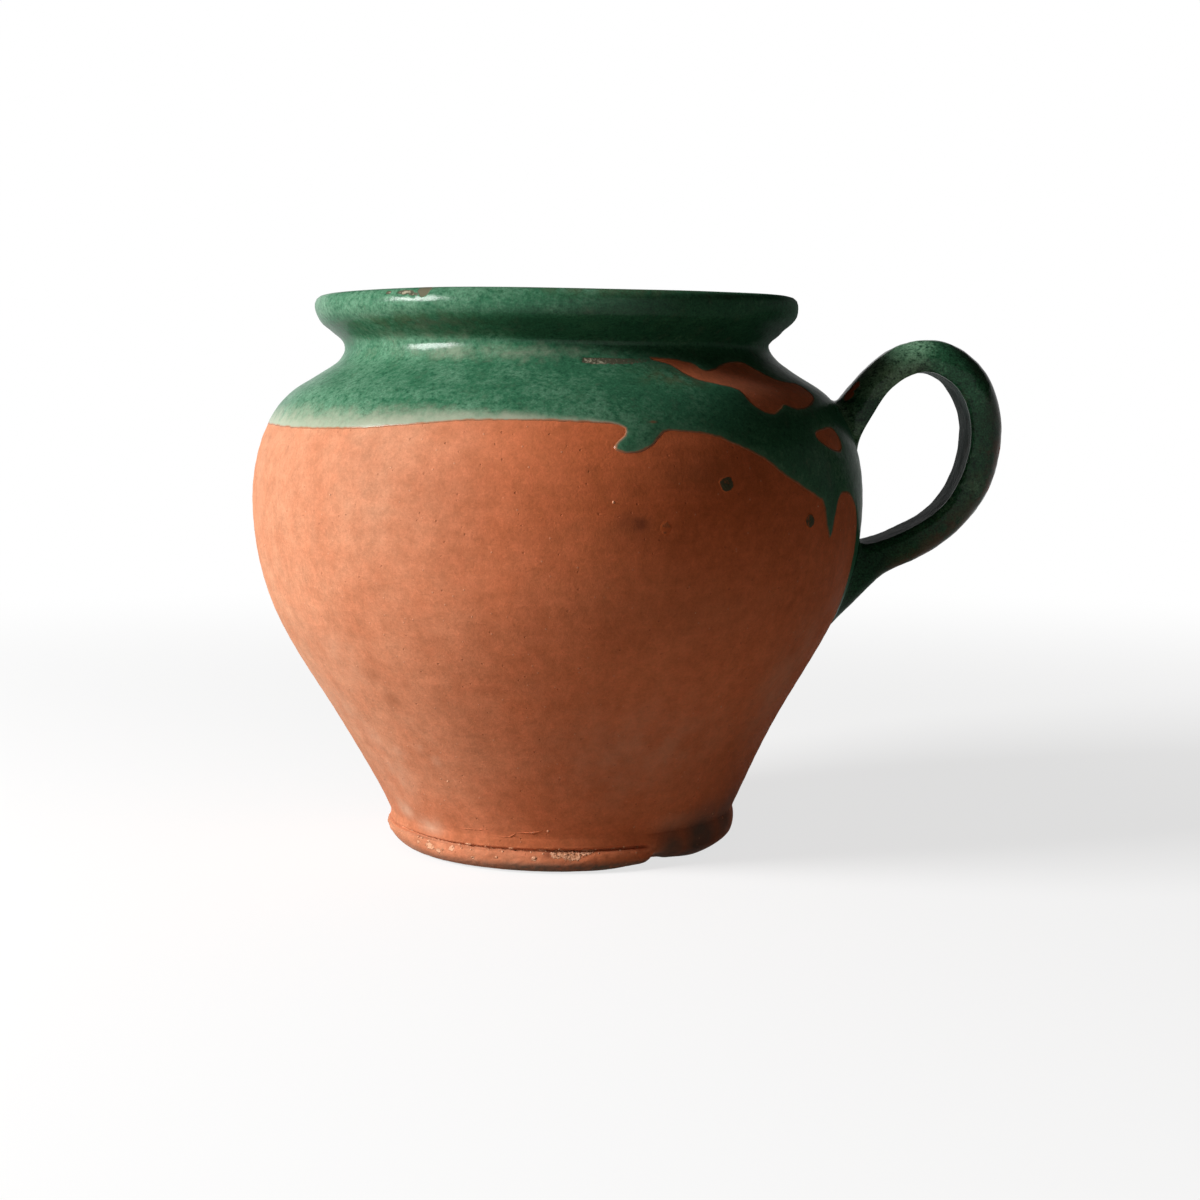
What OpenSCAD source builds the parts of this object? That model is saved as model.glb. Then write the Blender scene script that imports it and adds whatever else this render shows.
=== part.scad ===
// One-handled earthenware jug: thrown terracotta vessel, pulled strap handle and
// a copper green glaze poured over the rim, the shoulder, the handle and the inside.
// The vessel stands on z = 0 with its wheel axis on Z, and the handle is on +X.

/* [Vessel] */
// Height from the foot to the crest of the rim, glaze included
jug_h = 150; // [145:0.5:158]
// Largest diameter of the bare belly
belly_d = 166.8; // [160:0.2:174]
// Height of the largest diameter
belly_h = 95; // [90:0.5:100]
// Diameter of the straight flank between belly and waist
flank_d = 123.6; // [118:0.2:129]
// Height at which the flank diameter is taken
flank_h = 37; // [32:0.5:42]
// Diameter of the waist just above the foot
waist_d = 95; // [91:0.5:99]
// Height of the waist
waist_h = 9.5; // [8.5:0.1:11.5]
// Thickness of the thrown wall, the neck included
wall_t = 5; // [4:0.1:6]
// Thickness of the floor
floor_t = 7; // [5:0.1:9]

/* [Neck and rim] */
// Clay diameter where the shoulder turns in to the neck
shoulder_d = 138.8; // [134:0.2:143]
// Depth of that turn below the crest
shoulder_drop = 24; // [22.5:0.1:25.5]
// Clay diameter of the neck
neck_d = 114.8; // [110:0.2:118]
// Depth of the neck below the crest
neck_drop = 14; // [13:0.1:15]
// Clay diameter of the rolled rim
rim_d = 130.8; // [127:0.2:136]
// Depth of the rim's widest line below the crest
roll_drop = 3.5; // [2.8:0.1:4.5]
// Radial distance from the rim's widest line in to its crest
roll_in = 4.7; // [3.8:0.1:5.6]
// Length of the straight throat inside the neck
throat_l = 8; // [6:0.5:9]
// Widening of the mouth from the throat up to the inner edge of the rim
mouth_flare = 2.6; // [1.5:0.1:3.5]

/* [Foot] */
// Diameter of the flat that the jug stands on
foot_d = 86; // [80:0.5:89]
// Height of the clay squeezed out under the waist as a rolled lip
lip_h = 5.6; // [4.5:0.1:6.5]
// How far that lip stands out beyond the waist
lip_out = 0.3; // [0.1:0.05:0.8]
// Azimuth at which the lip begins
lip_from = 118; // [100:1:150]
// Azimuth at which the lip breaks off
lip_to = 300; // [280:1:310]

/* [Handle] */
// Clay width of the strap
strap_w = 21.2; // [18:0.2:24]
// Clay thickness of the strap on the far side of the loop
strap_t = 9.3; // [8:0.1:11]
// Clay thickness of the strap at the crown of the loop
crown_t = 8.4; // [7.5:0.1:9.5]
// Reach of the loop beyond the belly
loop_out = 38.3; // [35:0.1:42]
// Height of the loop's far side
loop_mid_h = 113.5; // [110:0.5:117]
// Depth of the loop's crown below the crest of the rim
crown_drop = 12; // [10:0.1:14]
// Depth of the upper root's middle below the crest of the rim
upper_root_drop = 39.5; // [37:0.5:42]
// Clay spread of the upper root along the wall
upper_root_t = 16; // [14:0.5:18]
// Height of the lower root's middle
lower_root_h = 70.5; // [69:0.5:73]
// Clay spread of the lower root along the wall
lower_root_t = 23; // [21:0.5:25]
// Extra width of the strap at both roots
root_flare = 2.4; // [0:0.1:4]

/* [Glaze] */
// Thickness of the glaze coats
glaze_t = 0.4; // [0.3:0.05:0.6]
// Depth of the poured glaze's level edge below the crest
glaze_drop = 34.5; // [33:0.1:37]
// Diameter of the largest glaze splash on the belly
splash_d = 3.6; // [2.5:0.1:5]

/* [Hidden] */
terracotta = [0.72, 0.38, 0.22];
copper_green = [0.10, 0.34, 0.22];
turn_fn = 96;
belly_r = belly_d / 2;
neck_r = neck_d / 2;
rim_r = rim_d / 2;
crest_z = jug_h - glaze_t;
crest_r = rim_r - roll_in;
neck_z = jug_h - neck_drop;
shoulder_z = jug_h - shoulder_drop;
throat_r = neck_r - wall_t;
throat_top = neck_z + throat_l / 2;
throat_low = neck_z - throat_l / 2;

// Point t of a cubic with two end points and two handles
function cubic(p, t) =
    p[0] * pow(1 - t, 3) + p[1] * 3 * t * pow(1 - t, 2)
    + p[2] * 3 * t * t * (1 - t) + p[3] * pow(t, 3);
// Steps of a cubic, without its last point, so that curves join end to end
function run(p, n) = [for (i = [0:n - 1]) cubic(p, i / n)];
function turned(angle, length) = [length * sin(angle), length * cos(angle)];
function unit(v) = v / norm(v);
function reversed(list) = [for (i = [len(list) - 1:-1:0]) list[i]];

// Outer clay profile, foot to crest, as [radius, height]. Each run's two middle arguments are its
// handles, as shares of its rise: how far the clay keeps the direction that it has at each end.
foot_edge = [foot_d / 2, 0];
waist = [waist_d / 2, waist_h];
flank = [flank_d / 2, flank_h];
belly = [belly_r, belly_h];
shoulder = [shoulder_d / 2, shoulder_z];
neck = [neck_r, neck_z];
roll = [rim_r, jug_h - roll_drop];
crest = [crest_r, crest_z];
waist_lean = 24;
flank_lean = 30.2;
shoulder_lean = -60.3;
function shaped(a, from_a, to_b, b, n) = let (rise = b[1] - a[1])
    run([a, a + rise * from_a, b - rise * to_b, b], n);
foot_run = shaped(foot_edge, [0.38, 0.02], [0.01, 0.66], waist, 6);
flank_run = shaped(waist, turned(waist_lean, 0.4), turned(flank_lean, 0.39), flank, 5);
belly_run = shaped(flank, turned(flank_lean, 0.397), [0, 0.431], belly, 12);
shoulder_run = shaped(belly, [0, 0.494], turned(shoulder_lean, 0.31), shoulder, 10);
neck_run = shaped(shoulder, turned(shoulder_lean, 0.55), [0, 0.16], neck, 7);
rim_run = shaped(neck, [0, 0.39], [0, 0.59], roll, 8);
roll_run = shaped(roll, [0, 0.61], [-0.77, 0], crest, 6);
outer_line = concat(foot_run, flank_run, belly_run, shoulder_run, neck_run, rim_run, roll_run, [crest]);

// A profile moved sideways by d, with every straight kept parallel to itself
function side(a, b) = let (t = unit(b - a)) [t[1], -t[0]];
function moved(line, d) = [for (i = [0:len(line) - 1])
    let (m = side(line[max(i - 1, 0)], line[max(i, 1)]),
         n = side(line[min(i, len(line) - 2)], line[min(i + 1, len(line) - 1)]))
    line[i] + d * (m + n) / (1 + m * n)];

// Inner clay profile, from the middle of the floor up to the mouth
corner_clear = 4;
floor_sweep = 7;
under_throat = 1.5;
mouth_drop = 4.2;
thrown_wall = [for (p = moved(concat(flank_run, belly_run, shoulder_run, neck_run), -wall_t))
    if (p[1] > floor_t + corner_clear && p[1] < throat_low - under_throat) p];
corner = thrown_wall[0];
floor_run = run([[corner[0] - floor_sweep, floor_t], [corner[0] - floor_sweep / 3, floor_t],
    corner - turned(waist_lean, 2), corner], 4);
throat_foot = [throat_r, throat_low];
throat_head = [throat_r, throat_top];
mouth = [throat_r + mouth_flare, crest_z - mouth_drop];
mouth_run = run([throat_head, throat_head + [0, 2.2], mouth - [0, 2.2], mouth], 4);
lip_run = run([mouth, mouth + [0, 2.6], crest - [3, 0], crest], 5);
inner_line = concat([[0, floor_t]], floor_run, thrown_wall, [throat_foot], mouth_run, lip_run);

// Glaze surfaces over both profiles, which meet in one point above the crest
crest_glaze = [crest_r, jug_h];
function without_last(list) = [for (i = [0:len(list) - 2]) list[i]];
outer_glaze = concat(without_last(moved(outer_line, glaze_t)), [crest_glaze]);
inner_glaze = concat(without_last(moved(concat(inner_line, [crest]), -glaze_t)), [crest_glaze]);

// Clay radius at a height, foot to roll
rising = [for (p = concat(foot_run, flank_run, belly_run, shoulder_run, neck_run, rim_run, [roll]))
    [p[1], p[0]]];
function radius_at(z) = lookup(z, rising);

module turn(outline) {
    rotate_extrude($fn = turn_fn) polygon(outline);
}

// All that lies inside the outer face of the clay, or of the glaze
module filled(line, top) {
    turn(concat([[0, 0]], line, [[0, top]]));
}

// The clay rolled out under the waist, which runs part of the way round
module foot_lip() {
    lift = 0.15;
    brim = [waist[0] + lip_out, 0.6 * lip_h];
    under = [foot_edge[0] + 0.5, lift];
    over = [brim[0] - 1.6, lip_h];
    root_r = foot_edge[0] - 2;
    outline = concat([[root_r, lift]],
        run([under, under + [2.8, 0], brim - [0, 2], brim], 5),
        run([brim, brim + [0, 1.4], over + [1, 0], over], 4),
        [over, [root_r, lip_h]]);
    rotate_extrude(angle = lip_to - lip_from, start = lip_from, $fn = turn_fn) polygon(outline);
}

module vessel() {
    color(terracotta) union() {
        turn(concat([[0, 0]], outer_line, reversed(inner_line)));
        foot_lip();
    }
}

// Back and face of the strap in the XZ plane, each six cubics from root to root.
// A station is a point with the direction of travel there; the roots start inside the wall.
crown_z = jug_h - crown_drop;
far_x = belly_r + loop_out;
upper_z = jug_h - upper_root_drop;
in_wall = 0.8 * wall_t;
function wall_at(z) = [radius_at(z), z];
back_stations = [
    [wall_at(upper_z + upper_root_t / 2) - [in_wall, 0.6], 50],
    [[belly_r - 4.6, crown_z - 14.2], 38],
    [[belly_r + 0.46 * loop_out, crown_z], 90],
    [[far_x, loop_mid_h], 180],
    [[belly_r + 0.46 * loop_out, lower_root_h + 8.9], 240],
    [[belly_r + 0.09 * loop_out, lower_root_h + 1.2], 223],
    [wall_at(lower_root_h - lower_root_t / 2) - [in_wall, 1.5], 240]];
face_stations = [
    [wall_at(upper_z - upper_root_t / 2) - [in_wall, 0], 70],
    [[belly_r + 0.7, crown_z - 21.6], 32],
    [[belly_r + 0.43 * loop_out, crown_z - crown_t], 90],
    [[far_x - strap_t, loop_mid_h], 180],
    [[belly_r + 0.35 * loop_out, lower_root_h + 16.6], 245],
    [[belly_r + 0.07 * loop_out, lower_root_h + 12.4], 257],
    [wall_at(lower_root_h + lower_root_t / 2) - [in_wall, 0.4], 265]];

// Cubic between stations a and b, with handles a share of their distance long
handle_share = 0.37;
function bridge(a, b) = let (reach = handle_share * norm(b[0] - a[0]))
    [a[0], a[0] + turned(a[1], reach), b[0] - turned(b[1], reach), b[0]];
span_steps = [4, 8, 10, 10, 6, 5];
function strap_edge(stations) = concat(
    [for (k = [0:len(stations) - 2]) each run(bridge(stations[k], stations[k + 1]), span_steps[k])],
    [stations[len(stations) - 1][0]]);
back_edge = strap_edge(back_stations);
face_edge = strap_edge(face_stations);
ring_count = len(back_edge);

// Extra width at ring i, which dies out towards the middle of the strap
function strap_wide(i) = strap_w + root_flare * pow(abs(2 * i / (ring_count - 1) - 1), 4);

// D section: a domed back and a flat inner face, as [across, outward]
dome_steps = 12;
flat_steps = 4;
edge_round = 0.9;
function d_section(w, t) = concat(
    [for (k = [0:dome_steps]) let (a = 6 + 168 * k / dome_steps)
        [w / 2 * sign(cos(a)) * pow(abs(cos(a)), 0.8), t * pow(sin(a), 0.8) - t / 2]],
    [for (k = [0:flat_steps]) [(w / 2 - edge_round) * (2 * k / flat_steps - 1), -t / 2]]);
section_count = dome_steps + flat_steps + 2;
function strap_ring(i, coat) = let (across = back_edge[i] - face_edge[i], o = unit(across),
    m = (back_edge[i] + face_edge[i]) / 2)
    [for (p = d_section(strap_wide(i) + 2 * coat, norm(across) + 2 * coat))
        [m[0] + o[0] * p[1], p[0], m[1] + o[1] * p[1]]];
function strap_points(coat) = [for (i = [0:ring_count - 1]) each strap_ring(i, coat)];

// Triangles between rings, the first ring being number "first"; flip turns them inside out
function wrap(first, flip) = [for (i = [0:ring_count - 2], k = [0:section_count - 1])
    let (a = (first + i) * section_count + k,
         b = (first + i) * section_count + (k + 1) % section_count)
    each flip
        ? [[a, b, b + section_count], [a, b + section_count, a + section_count]]
        : [[a, b + section_count, b], [a, a + section_count, b + section_count]]];

module strap_solid() {
    last_ring = (ring_count - 1) * section_count;
    ends = [for (k = [1:section_count - 2])
        each [[0, k, k + 1], [last_ring, last_ring + k + 1, last_ring + k]]];
    polyhedron(strap_points(0), concat(wrap(0, false), ends));
}

module handle() {
    color(terracotta) difference() {
        strap_solid();
        filled(outer_line, crest_z);
    }
}

// Coat round the strap, open at both roots; one spot is worn off beside the upper root
worn_spot = [belly_r - 2.9, jug_h - 24.6];
worn_r = 2.2;
module handle_glaze() {
    shell = ring_count * section_count;
    ends = [for (k = [0:section_count - 1]) let (n = (k + 1) % section_count, e = shell - section_count)
        each [[k, n, n + shell], [k, n + shell, k + shell],
              [e + k, e + n + shell, e + n], [e + k, e + k + shell, e + n + shell]]];
    color(copper_green) difference() {
        polyhedron(concat(strap_points(glaze_t), strap_points(0)),
            concat(wrap(0, false), wrap(ring_count, true), ends));
        filled(outer_glaze, jug_h);
        translate([worn_spot[0], -strap_w / 4, worn_spot[1]]) rotate([90, 0, 0])
            cylinder(h = strap_w, r = worn_r, $fn = 24);
    }
}

// Lower edge of the poured glaze, as [azimuth, fall below the glaze line]. This fall, and the
// depths and falls of the next lists, are shares of the glaze's depth below the crest.
glaze_line = jug_h - glaze_drop;
root_fall = (glaze_line - lower_root_h + 0.43 * lower_root_t) / glaze_drop;
glaze_edge = [[0, root_fall + 0.029], [8, root_fall], [13, root_fall - 0.145], [17, root_fall - 0.58],
    [22, 0.696], [30, 0.464], [45, 0.261], [60, 0.145], [75, 0.174], [79, 0.348], [82, 0.406],
    [85, 0.319], [89, 0.145], [100, 0.087], [125, 0.043], [150, 0], [165, 0.043], [180, 0.023],
    [200, 0.006], [212, 0.014], [231, 0.012], [242, -0.012], [252, -0.046], [263, -0.061],
    [273, -0.046], [280.5, -0.029], [281.5, 0.13], [283, 0.174], [286, 0.157], [288, 0.087],
    [290, 0.02], [294, 0.026], [299, 0.052], [304, 0.133], [309, 0.22], [313, 0.316], [317.5, 0.417],
    [324, 0.53], [326, 0.696], [328, 0.826], [329.5, 0.754], [331, 0.594], [333, 0.522], [338, 0.551],
    [341.5, 0.638], [343, 0.739], [344.5, 0.899], [346, root_fall - 0.348], [348, root_fall - 0.116],
    [352, root_fall]];

// Bare places in the poured glaze, as [azimuth, depth below the crest]
bare_sweep = [[293.5, 0.501], [304.4, 0.53], [308, 0.588], [314.3, 0.542], [323.6, 0.539],
    [328.5, 0.661], [335.6, 0.684], [335.3, 0.797], [328, 0.861], [323.7, 0.87], [320.4, 0.841],
    [315, 0.899], [311, 0.82], [310.2, 0.728], [303, 0.661], [299.1, 0.554]];
bare_fleck = [[326.2, 1.058], [329.6, 1.038], [334.3, 1.029], [336.3, 1.096], [336, 1.171],
    [333, 1.183], [329, 1.142]];

// Radii between which the shapes that cut the glaze reach
near_r = foot_edge[0] - wall_t;
far_r = belly_r + wall_t;
function on_ray(azimuth, r, z) = [r * cos(azimuth), r * sin(azimuth), z];

// Ring of space below the glaze edge
module below_edge() {
    n = len(glaze_edge);
    points = [for (e = glaze_edge) let (z = glaze_line - glaze_drop * e[1])
        each [on_ray(e[0], near_r, 0), on_ray(e[0], far_r, 0), on_ray(e[0], far_r, z), on_ray(e[0], near_r, z)]];
    faces = [for (i = [0:n - 1], k = [0:3])
        let (a = 4 * i + k, b = 4 * i + (k + 1) % 4, c = 4 * ((i + 1) % n) + k,
             d = 4 * ((i + 1) % n) + (k + 1) % 4)
        each [[a, b, d], [a, d, c]]];
    polyhedron(points, faces);
}

// Radial prism over an outline of [azimuth, depth] points
module through(outline) {
    middle = (min([for (p = outline) p[0]]) + max([for (p = outline) p[0]])) / 2;
    flat = [for (p = outline) let (z = jug_h - glaze_drop * p[1])
        [(radius_at(z) + glaze_t) * sin(p[0] - middle), z]];
    rotate([0, 0, middle]) rotate([90, 0, 90]) translate([0, 0, near_r])
        linear_extrude(far_r - near_r) polygon(flat);
}

// Outer coat from the crest down to the lowest run of glaze
module coat() {
    lowest = lower_root_h - 0.6 * lower_root_t;
    clay = [for (p = outer_line) if (p[1] > lowest) p];
    glaze = [for (i = [0:len(outer_line) - 1]) if (outer_line[i][1] > lowest) outer_glaze[i]];
    turn(concat(clay, reversed(glaze)));
}

module collar_glaze() {
    color(copper_green) difference() {
        coat();
        below_edge();
        through(bare_sweep);
        through(bare_fleck);
        strap_solid();
    }
}

module lining_glaze() {
    color(copper_green) turn(concat(inner_line, [crest], reversed(inner_glaze)));
}

// Splashes below the collar, as [azimuth, fall below the glaze line, share of the largest diameter]
splashes = [[300.5, 0.386, 0.95], [320.8, 0.675, 1], [289.3, 0.687, 0.7]];

module glaze_splashes() {
    color(copper_green) intersection() {
        coat();
        for (s = splashes) rotate([0, 0, s[0]])
            translate([near_r, 0, glaze_line - glaze_drop * s[1]]) rotate([0, 90, 0])
            cylinder(h = far_r - near_r, d = s[2] * splash_d, $fn = 32);
    }
}

vessel();
handle();
collar_glaze();
lining_glaze();
handle_glaze();
glaze_splashes();
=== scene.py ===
import math

import bmesh
import bpy
import numpy as np
from bmesh import ops as shape_ops
from mathutils import Matrix, Vector, geometry, noise


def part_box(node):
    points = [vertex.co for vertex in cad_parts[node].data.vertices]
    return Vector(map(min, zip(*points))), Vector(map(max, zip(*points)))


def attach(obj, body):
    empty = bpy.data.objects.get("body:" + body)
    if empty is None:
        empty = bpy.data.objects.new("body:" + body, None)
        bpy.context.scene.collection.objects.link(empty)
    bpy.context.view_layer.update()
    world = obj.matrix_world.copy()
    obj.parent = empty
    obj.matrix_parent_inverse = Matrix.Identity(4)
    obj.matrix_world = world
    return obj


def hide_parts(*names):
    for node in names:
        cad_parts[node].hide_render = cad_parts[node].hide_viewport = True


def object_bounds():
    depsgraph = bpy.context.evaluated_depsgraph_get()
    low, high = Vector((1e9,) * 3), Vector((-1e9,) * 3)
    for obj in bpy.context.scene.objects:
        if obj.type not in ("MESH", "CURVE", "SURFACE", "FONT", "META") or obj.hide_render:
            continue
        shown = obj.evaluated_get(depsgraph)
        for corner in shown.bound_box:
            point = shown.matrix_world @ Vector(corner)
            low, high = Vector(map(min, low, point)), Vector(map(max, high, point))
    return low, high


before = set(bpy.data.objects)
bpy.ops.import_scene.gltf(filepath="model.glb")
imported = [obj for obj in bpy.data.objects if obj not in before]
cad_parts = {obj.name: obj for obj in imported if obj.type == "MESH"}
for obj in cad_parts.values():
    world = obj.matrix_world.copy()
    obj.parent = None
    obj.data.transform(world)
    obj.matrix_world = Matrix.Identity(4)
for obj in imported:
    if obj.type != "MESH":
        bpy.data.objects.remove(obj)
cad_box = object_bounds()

# Vessel: one thrown piece of terracotta, from the flat foot to the rolled rim, left bare below.
# The wheel left faint rings in the wall, and the clay squeezed out under it was rolled into a
# foot lip that breaks off at the front. Lengths are in millimetres until mm makes them metres.
mm = 0.001
jug_height = round(cad_box[1][2] / mm, 1)
belly_radius = round(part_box("vessel")[1][0] / mm, 1)
wall_thickness = 5
floor_height = 7
foot_edge = np.array([43.0, 0.0])
waist = np.array([47.5, 9.5])
flank = np.array([61.8, 37.0])
belly = np.array([belly_radius, 95.0])
shoulder = np.array([69.4, jug_height - 24])
neck = np.array([57.4, jug_height - 14])
narrow = neck + [0.1, 0.6]
roll = np.array([65.4, jug_height - 3.5])
crest = np.array([60.7, jug_height - 0.3])
throat_head = neck + [-wall_thickness, 4]
throat_foot = neck + [-wall_thickness, -4]
mouth = throat_head + [2.6, 5.4]
waist_lean, flank_lean, shoulder_lean = 24, 30.2, -60.3
steps_round = 360
lip_starts, lip_breaks = 118, 301.0


def along(angle, length):
    """A step of this length in a direction counted from straight up"""
    return np.array([math.sin(math.radians(angle)), math.cos(math.radians(angle))]) * length


def bend(start, leaving, arriving, end, steps=60):
    """Points of a curve that leaves its start and reaches its end by way of two handles"""
    t = np.linspace(0, 1, steps + 1)[:, None]
    return (start * (1 - t) ** 3 + 3 * leaving * t * (1 - t) ** 2
            + 3 * arriving * t * t * (1 - t) + end * t ** 3)


def strung(*lines):
    """Lines that meet end to end, as one"""
    return np.vstack([lines[0]] + [line[1:] for line in lines[1:]])


def spaced(line, gap):
    """The line again, with points about this far apart along it"""
    run = np.concatenate([[0], np.cumsum(np.linalg.norm(np.diff(line, axis=0), axis=1))])
    even = np.linspace(0, run[-1], max(int(round(run[-1] / gap)), 2) + 1)
    return np.stack([np.interp(even, run, line[:, k]) for k in range(line.shape[1])], axis=1)


def moved_in(line, depth):
    """The line moved sideways, into the clay"""
    way = np.gradient(line, axis=0)
    way /= np.linalg.norm(way, axis=1)[:, None]
    return line + depth * np.stack([-way[:, 1], way[:, 0]], axis=1)


low_wall = strung(
    bend(waist, waist + along(waist_lean, 11), flank - along(flank_lean, 10.7), flank),
    bend(flank, flank + along(flank_lean, 23), belly - [0, 25], belly))
high_wall = strung(
    bend(belly, belly + [0, 15.3], shoulder - along(shoulder_lean, 9.6), shoulder),
    bend(shoulder, shoulder + along(shoulder_lean, 5.0), narrow - [0, 3.1], narrow))
rim_line = strung(
    bend(narrow, narrow + [0, 2.7], roll - [0, 5.9], roll),
    bend(roll, roll + [0, 2.8], crest + [4.0, 0], crest))
outer_wall = strung(spaced(low_wall, 1.5), spaced(high_wall, 1.0), spaced(rim_line, 0.6))
for crease, depth, wide in ((jug_height - 8.9, 0.32, 0.9), (jug_height - 18.2, 0.20, 1.0)):
    outer_wall[:, 0] -= depth * np.exp(-((outer_wall[:, 1] - crease) / wide) ** 2)
inside = moved_in(strung(low_wall, high_wall), wall_thickness)
inside = inside[(inside[:, 1] > floor_height + 4) & (inside[:, 1] < throat_foot[1] - 1.5)]
corner = inside[0]
floor_edge = np.array([corner[0] - 7, floor_height])
inner_wall = strung(
    spaced(strung(bend(crest, crest - [3, 0], mouth + [0, 2.6], mouth),
                  bend(mouth, mouth - [0, 2.2], throat_head + [0, 2.2], throat_head),
                  np.array([throat_head, throat_foot])), 1.1),
    spaced(strung(np.array([throat_foot, inside[-1]]), inside[::-1]), 5),
    spaced(bend(corner, corner - along(waist_lean, 2), floor_edge + [4.6, 0], floor_edge), 2.5),
    spaced(np.array([floor_edge, [0, floor_height]]), 7))
hollow_underfoot = 0.5
underside = np.array([[r, hollow_underfoot * (1 - (r / foot_edge[0]) ** 2)]
                      for r in (0, 5, 11, 17, 23, 29, 34, 38, 41, 43)])
foot_rows = 46
brim_of_lip, top_of_lip, groove = np.array([47.75, 2.9]), np.array([46.5, 5.75]), np.array([46.9, 6.6])
smooth_foot = bend(foot_edge, foot_edge + [4.0, 0.2], waist + [1.5, -4.6], waist)
lipped_foot = strung(
    bend(foot_edge, foot_edge + [3.2, 0.1], brim_of_lip - [0.05, 1.6], brim_of_lip),
    bend(brim_of_lip, brim_of_lip + [0.05, 1.6], top_of_lip + [1.0, -0.25], top_of_lip),
    bend(top_of_lip, top_of_lip + [-0.55, 0.12], groove - [0.7, 0.1], groove),
    bend(groove, groove + [0.3, 0.1], waist - [0.3, 1.2], waist))
profiles = []
for foot in (smooth_foot, lipped_foot):
    foot_run = np.linalg.norm(np.diff(foot, axis=0), axis=1).sum()
    profiles.append(strung(underside, spaced(foot, foot_run / foot_rows), outer_wall, inner_wall))
row_count = len(profiles[0])
waist_row = len(underside) - 1 + foot_rows
crest_row = waist_row + len(outer_wall) - 1


def add(tree, kind, inputs=(), **settings):
    """A node with its settings made, and its named inputs linked or filled in"""
    node = tree.nodes.new(kind)
    for name, value in settings.items():
        setattr(node, name, value)
    for name, value in dict(inputs).items():
        socket = node.inputs[name]
        if isinstance(value, bpy.types.NodeSocket):
            tree.links.new(value, socket)
        else:
            socket.default_value = value
    return node


def calc(tree, step, *values):
    """The result of one sum on numbers or sockets"""
    return add(tree, "ShaderNodeMath", dict(enumerate(values)), operation=step).outputs[0]


def product(tree, first, *others):
    for other in others:
        first = calc(tree, "MULTIPLY", first, other)
    return first


def total(tree, first, *others):
    for other in others:
        first = calc(tree, "ADD", first, other)
    return first


def less(tree, first, second):
    return calc(tree, "SUBTRACT", first, second)


def eased(tree, value, low, high):
    """0 below low, 1 above high, and a soft rise between them"""
    return add(tree, "ShaderNodeMapRange", {"Value": value, "From Min": low, "From Max": high},
               interpolation_type="SMOOTHSTEP").outputs[0]


def level_of(tree, value, low, high, bottom, top):
    """A value's range laid out evenly over another one"""
    return add(tree, "ShaderNodeMapRange", {"Value": value, "From Min": low, "From Max": high,
                                            "To Min": bottom, "To Max": top}).outputs[0]


def within_range(tree, value, low, high):
    """1 between two values, and 0 outside"""
    return product(tree, calc(tree, "GREATER_THAN", value, low), calc(tree, "LESS_THAN", value, high))


throwing = bpy.data.node_groups.new("thrown wall", "GeometryNodeTree")
throwing.interface.new_socket("Profile", in_out="INPUT", socket_type="NodeSocketGeometry")
for name, kind in (("Rows", "Int"), ("Steps round", "Int"), ("Waist row", "Int"), ("Crest row", "Int"),
                   ("Ring pitch", "Float"), ("Ring height", "Float"), ("Unevenness", "Float"),
                   ("Rim drop", "Float"), ("Hand swell", "Float"), ("Foot shift", "Float"),
                   ("Foot lift", "Float"), ("Corner wear", "Float"), ("Lip rise", "Float"),
                   ("Lip starts", "Float"), ("Lip breaks", "Float"),
                   ("Lime per square metre", "Float"), ("Lime size", "Float"),
                   ("Crumbs per square metre", "Float"), ("Crumb size", "Float"),
                   ("Seed", "Int"), ("Clay", "Material")):
    throwing.interface.new_socket(name, in_out="INPUT", socket_type="NodeSocket" + kind)
throwing.interface.new_socket("Vessel", in_out="OUTPUT", socket_type="NodeSocketGeometry")
given = add(throwing, "NodeGroupInput").outputs
place = add(throwing, "GeometryNodeInputPosition").outputs[0]
sheet = add(throwing, "GeometryNodeMeshGrid", {
    "Size X": 1.0, "Size Y": 1.0, "Vertices X": total(throwing, given["Steps round"], 1),
    "Vertices Y": given["Rows"]})
cell = add(throwing, "ShaderNodeSeparateXYZ", {0: place}).outputs
turn = total(throwing, cell["X"], 0.5)
angle = product(throwing, turn, 2 * math.pi)
degrees = product(throwing, turn, 360)
row = calc(throwing, "ROUND", product(throwing, total(throwing, cell["Y"], 0.5),
                                      less(throwing, given["Rows"], 1)))


def profile_value(value, index, kind):
    """What the profile's points hold at a row"""
    return add(throwing, "GeometryNodeSampleIndex", {
        "Geometry": given["Profile"], "Value": value, "Index": index},
        data_type=kind, domain="POINT").outputs[0]


smooth_point = profile_value(place, row, "FLOAT_VECTOR")
lipped_point = profile_value(place, total(throwing, row, given["Rows"]), "FLOAT_VECTOR")
share_named = add(throwing, "GeometryNodeInputNamedAttribute", {"Name": "ring_share"}, data_type="FLOAT")
ring_share = profile_value(share_named.outputs[0], row, "FLOAT")
lipped = product(
    throwing, eased(throwing, degrees, given["Lip starts"], total(throwing, given["Lip starts"], 14)),
    eased(throwing, degrees, total(throwing, given["Lip breaks"], 1.0), less(throwing, given["Lip breaks"], 3.4)))
point = add(throwing, "ShaderNodeMix", {"Factor": lipped}, data_type="VECTOR")
throwing.links.new(smooth_point, point.inputs[4])
throwing.links.new(lipped_point, point.inputs[5])
spun = add(throwing, "ShaderNodeSeparateXYZ", {0: point.outputs[1]}).outputs
reach, height = spun["X"], spun["Z"]
cosine, sine = calc(throwing, "COSINE", angle), calc(throwing, "SINE", angle)
in_space = add(throwing, "ShaderNodeCombineXYZ", {
    "X": product(throwing, reach, cosine), "Y": product(throwing, reach, sine), "Z": height}).outputs[0]
lumps = add(throwing, "ShaderNodeTexNoise", {"Vector": in_space, "Scale": 26.0, "Detail": 2.0}).outputs[0]
turns_up = calc(throwing, "DIVIDE", height, given["Ring pitch"])
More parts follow.
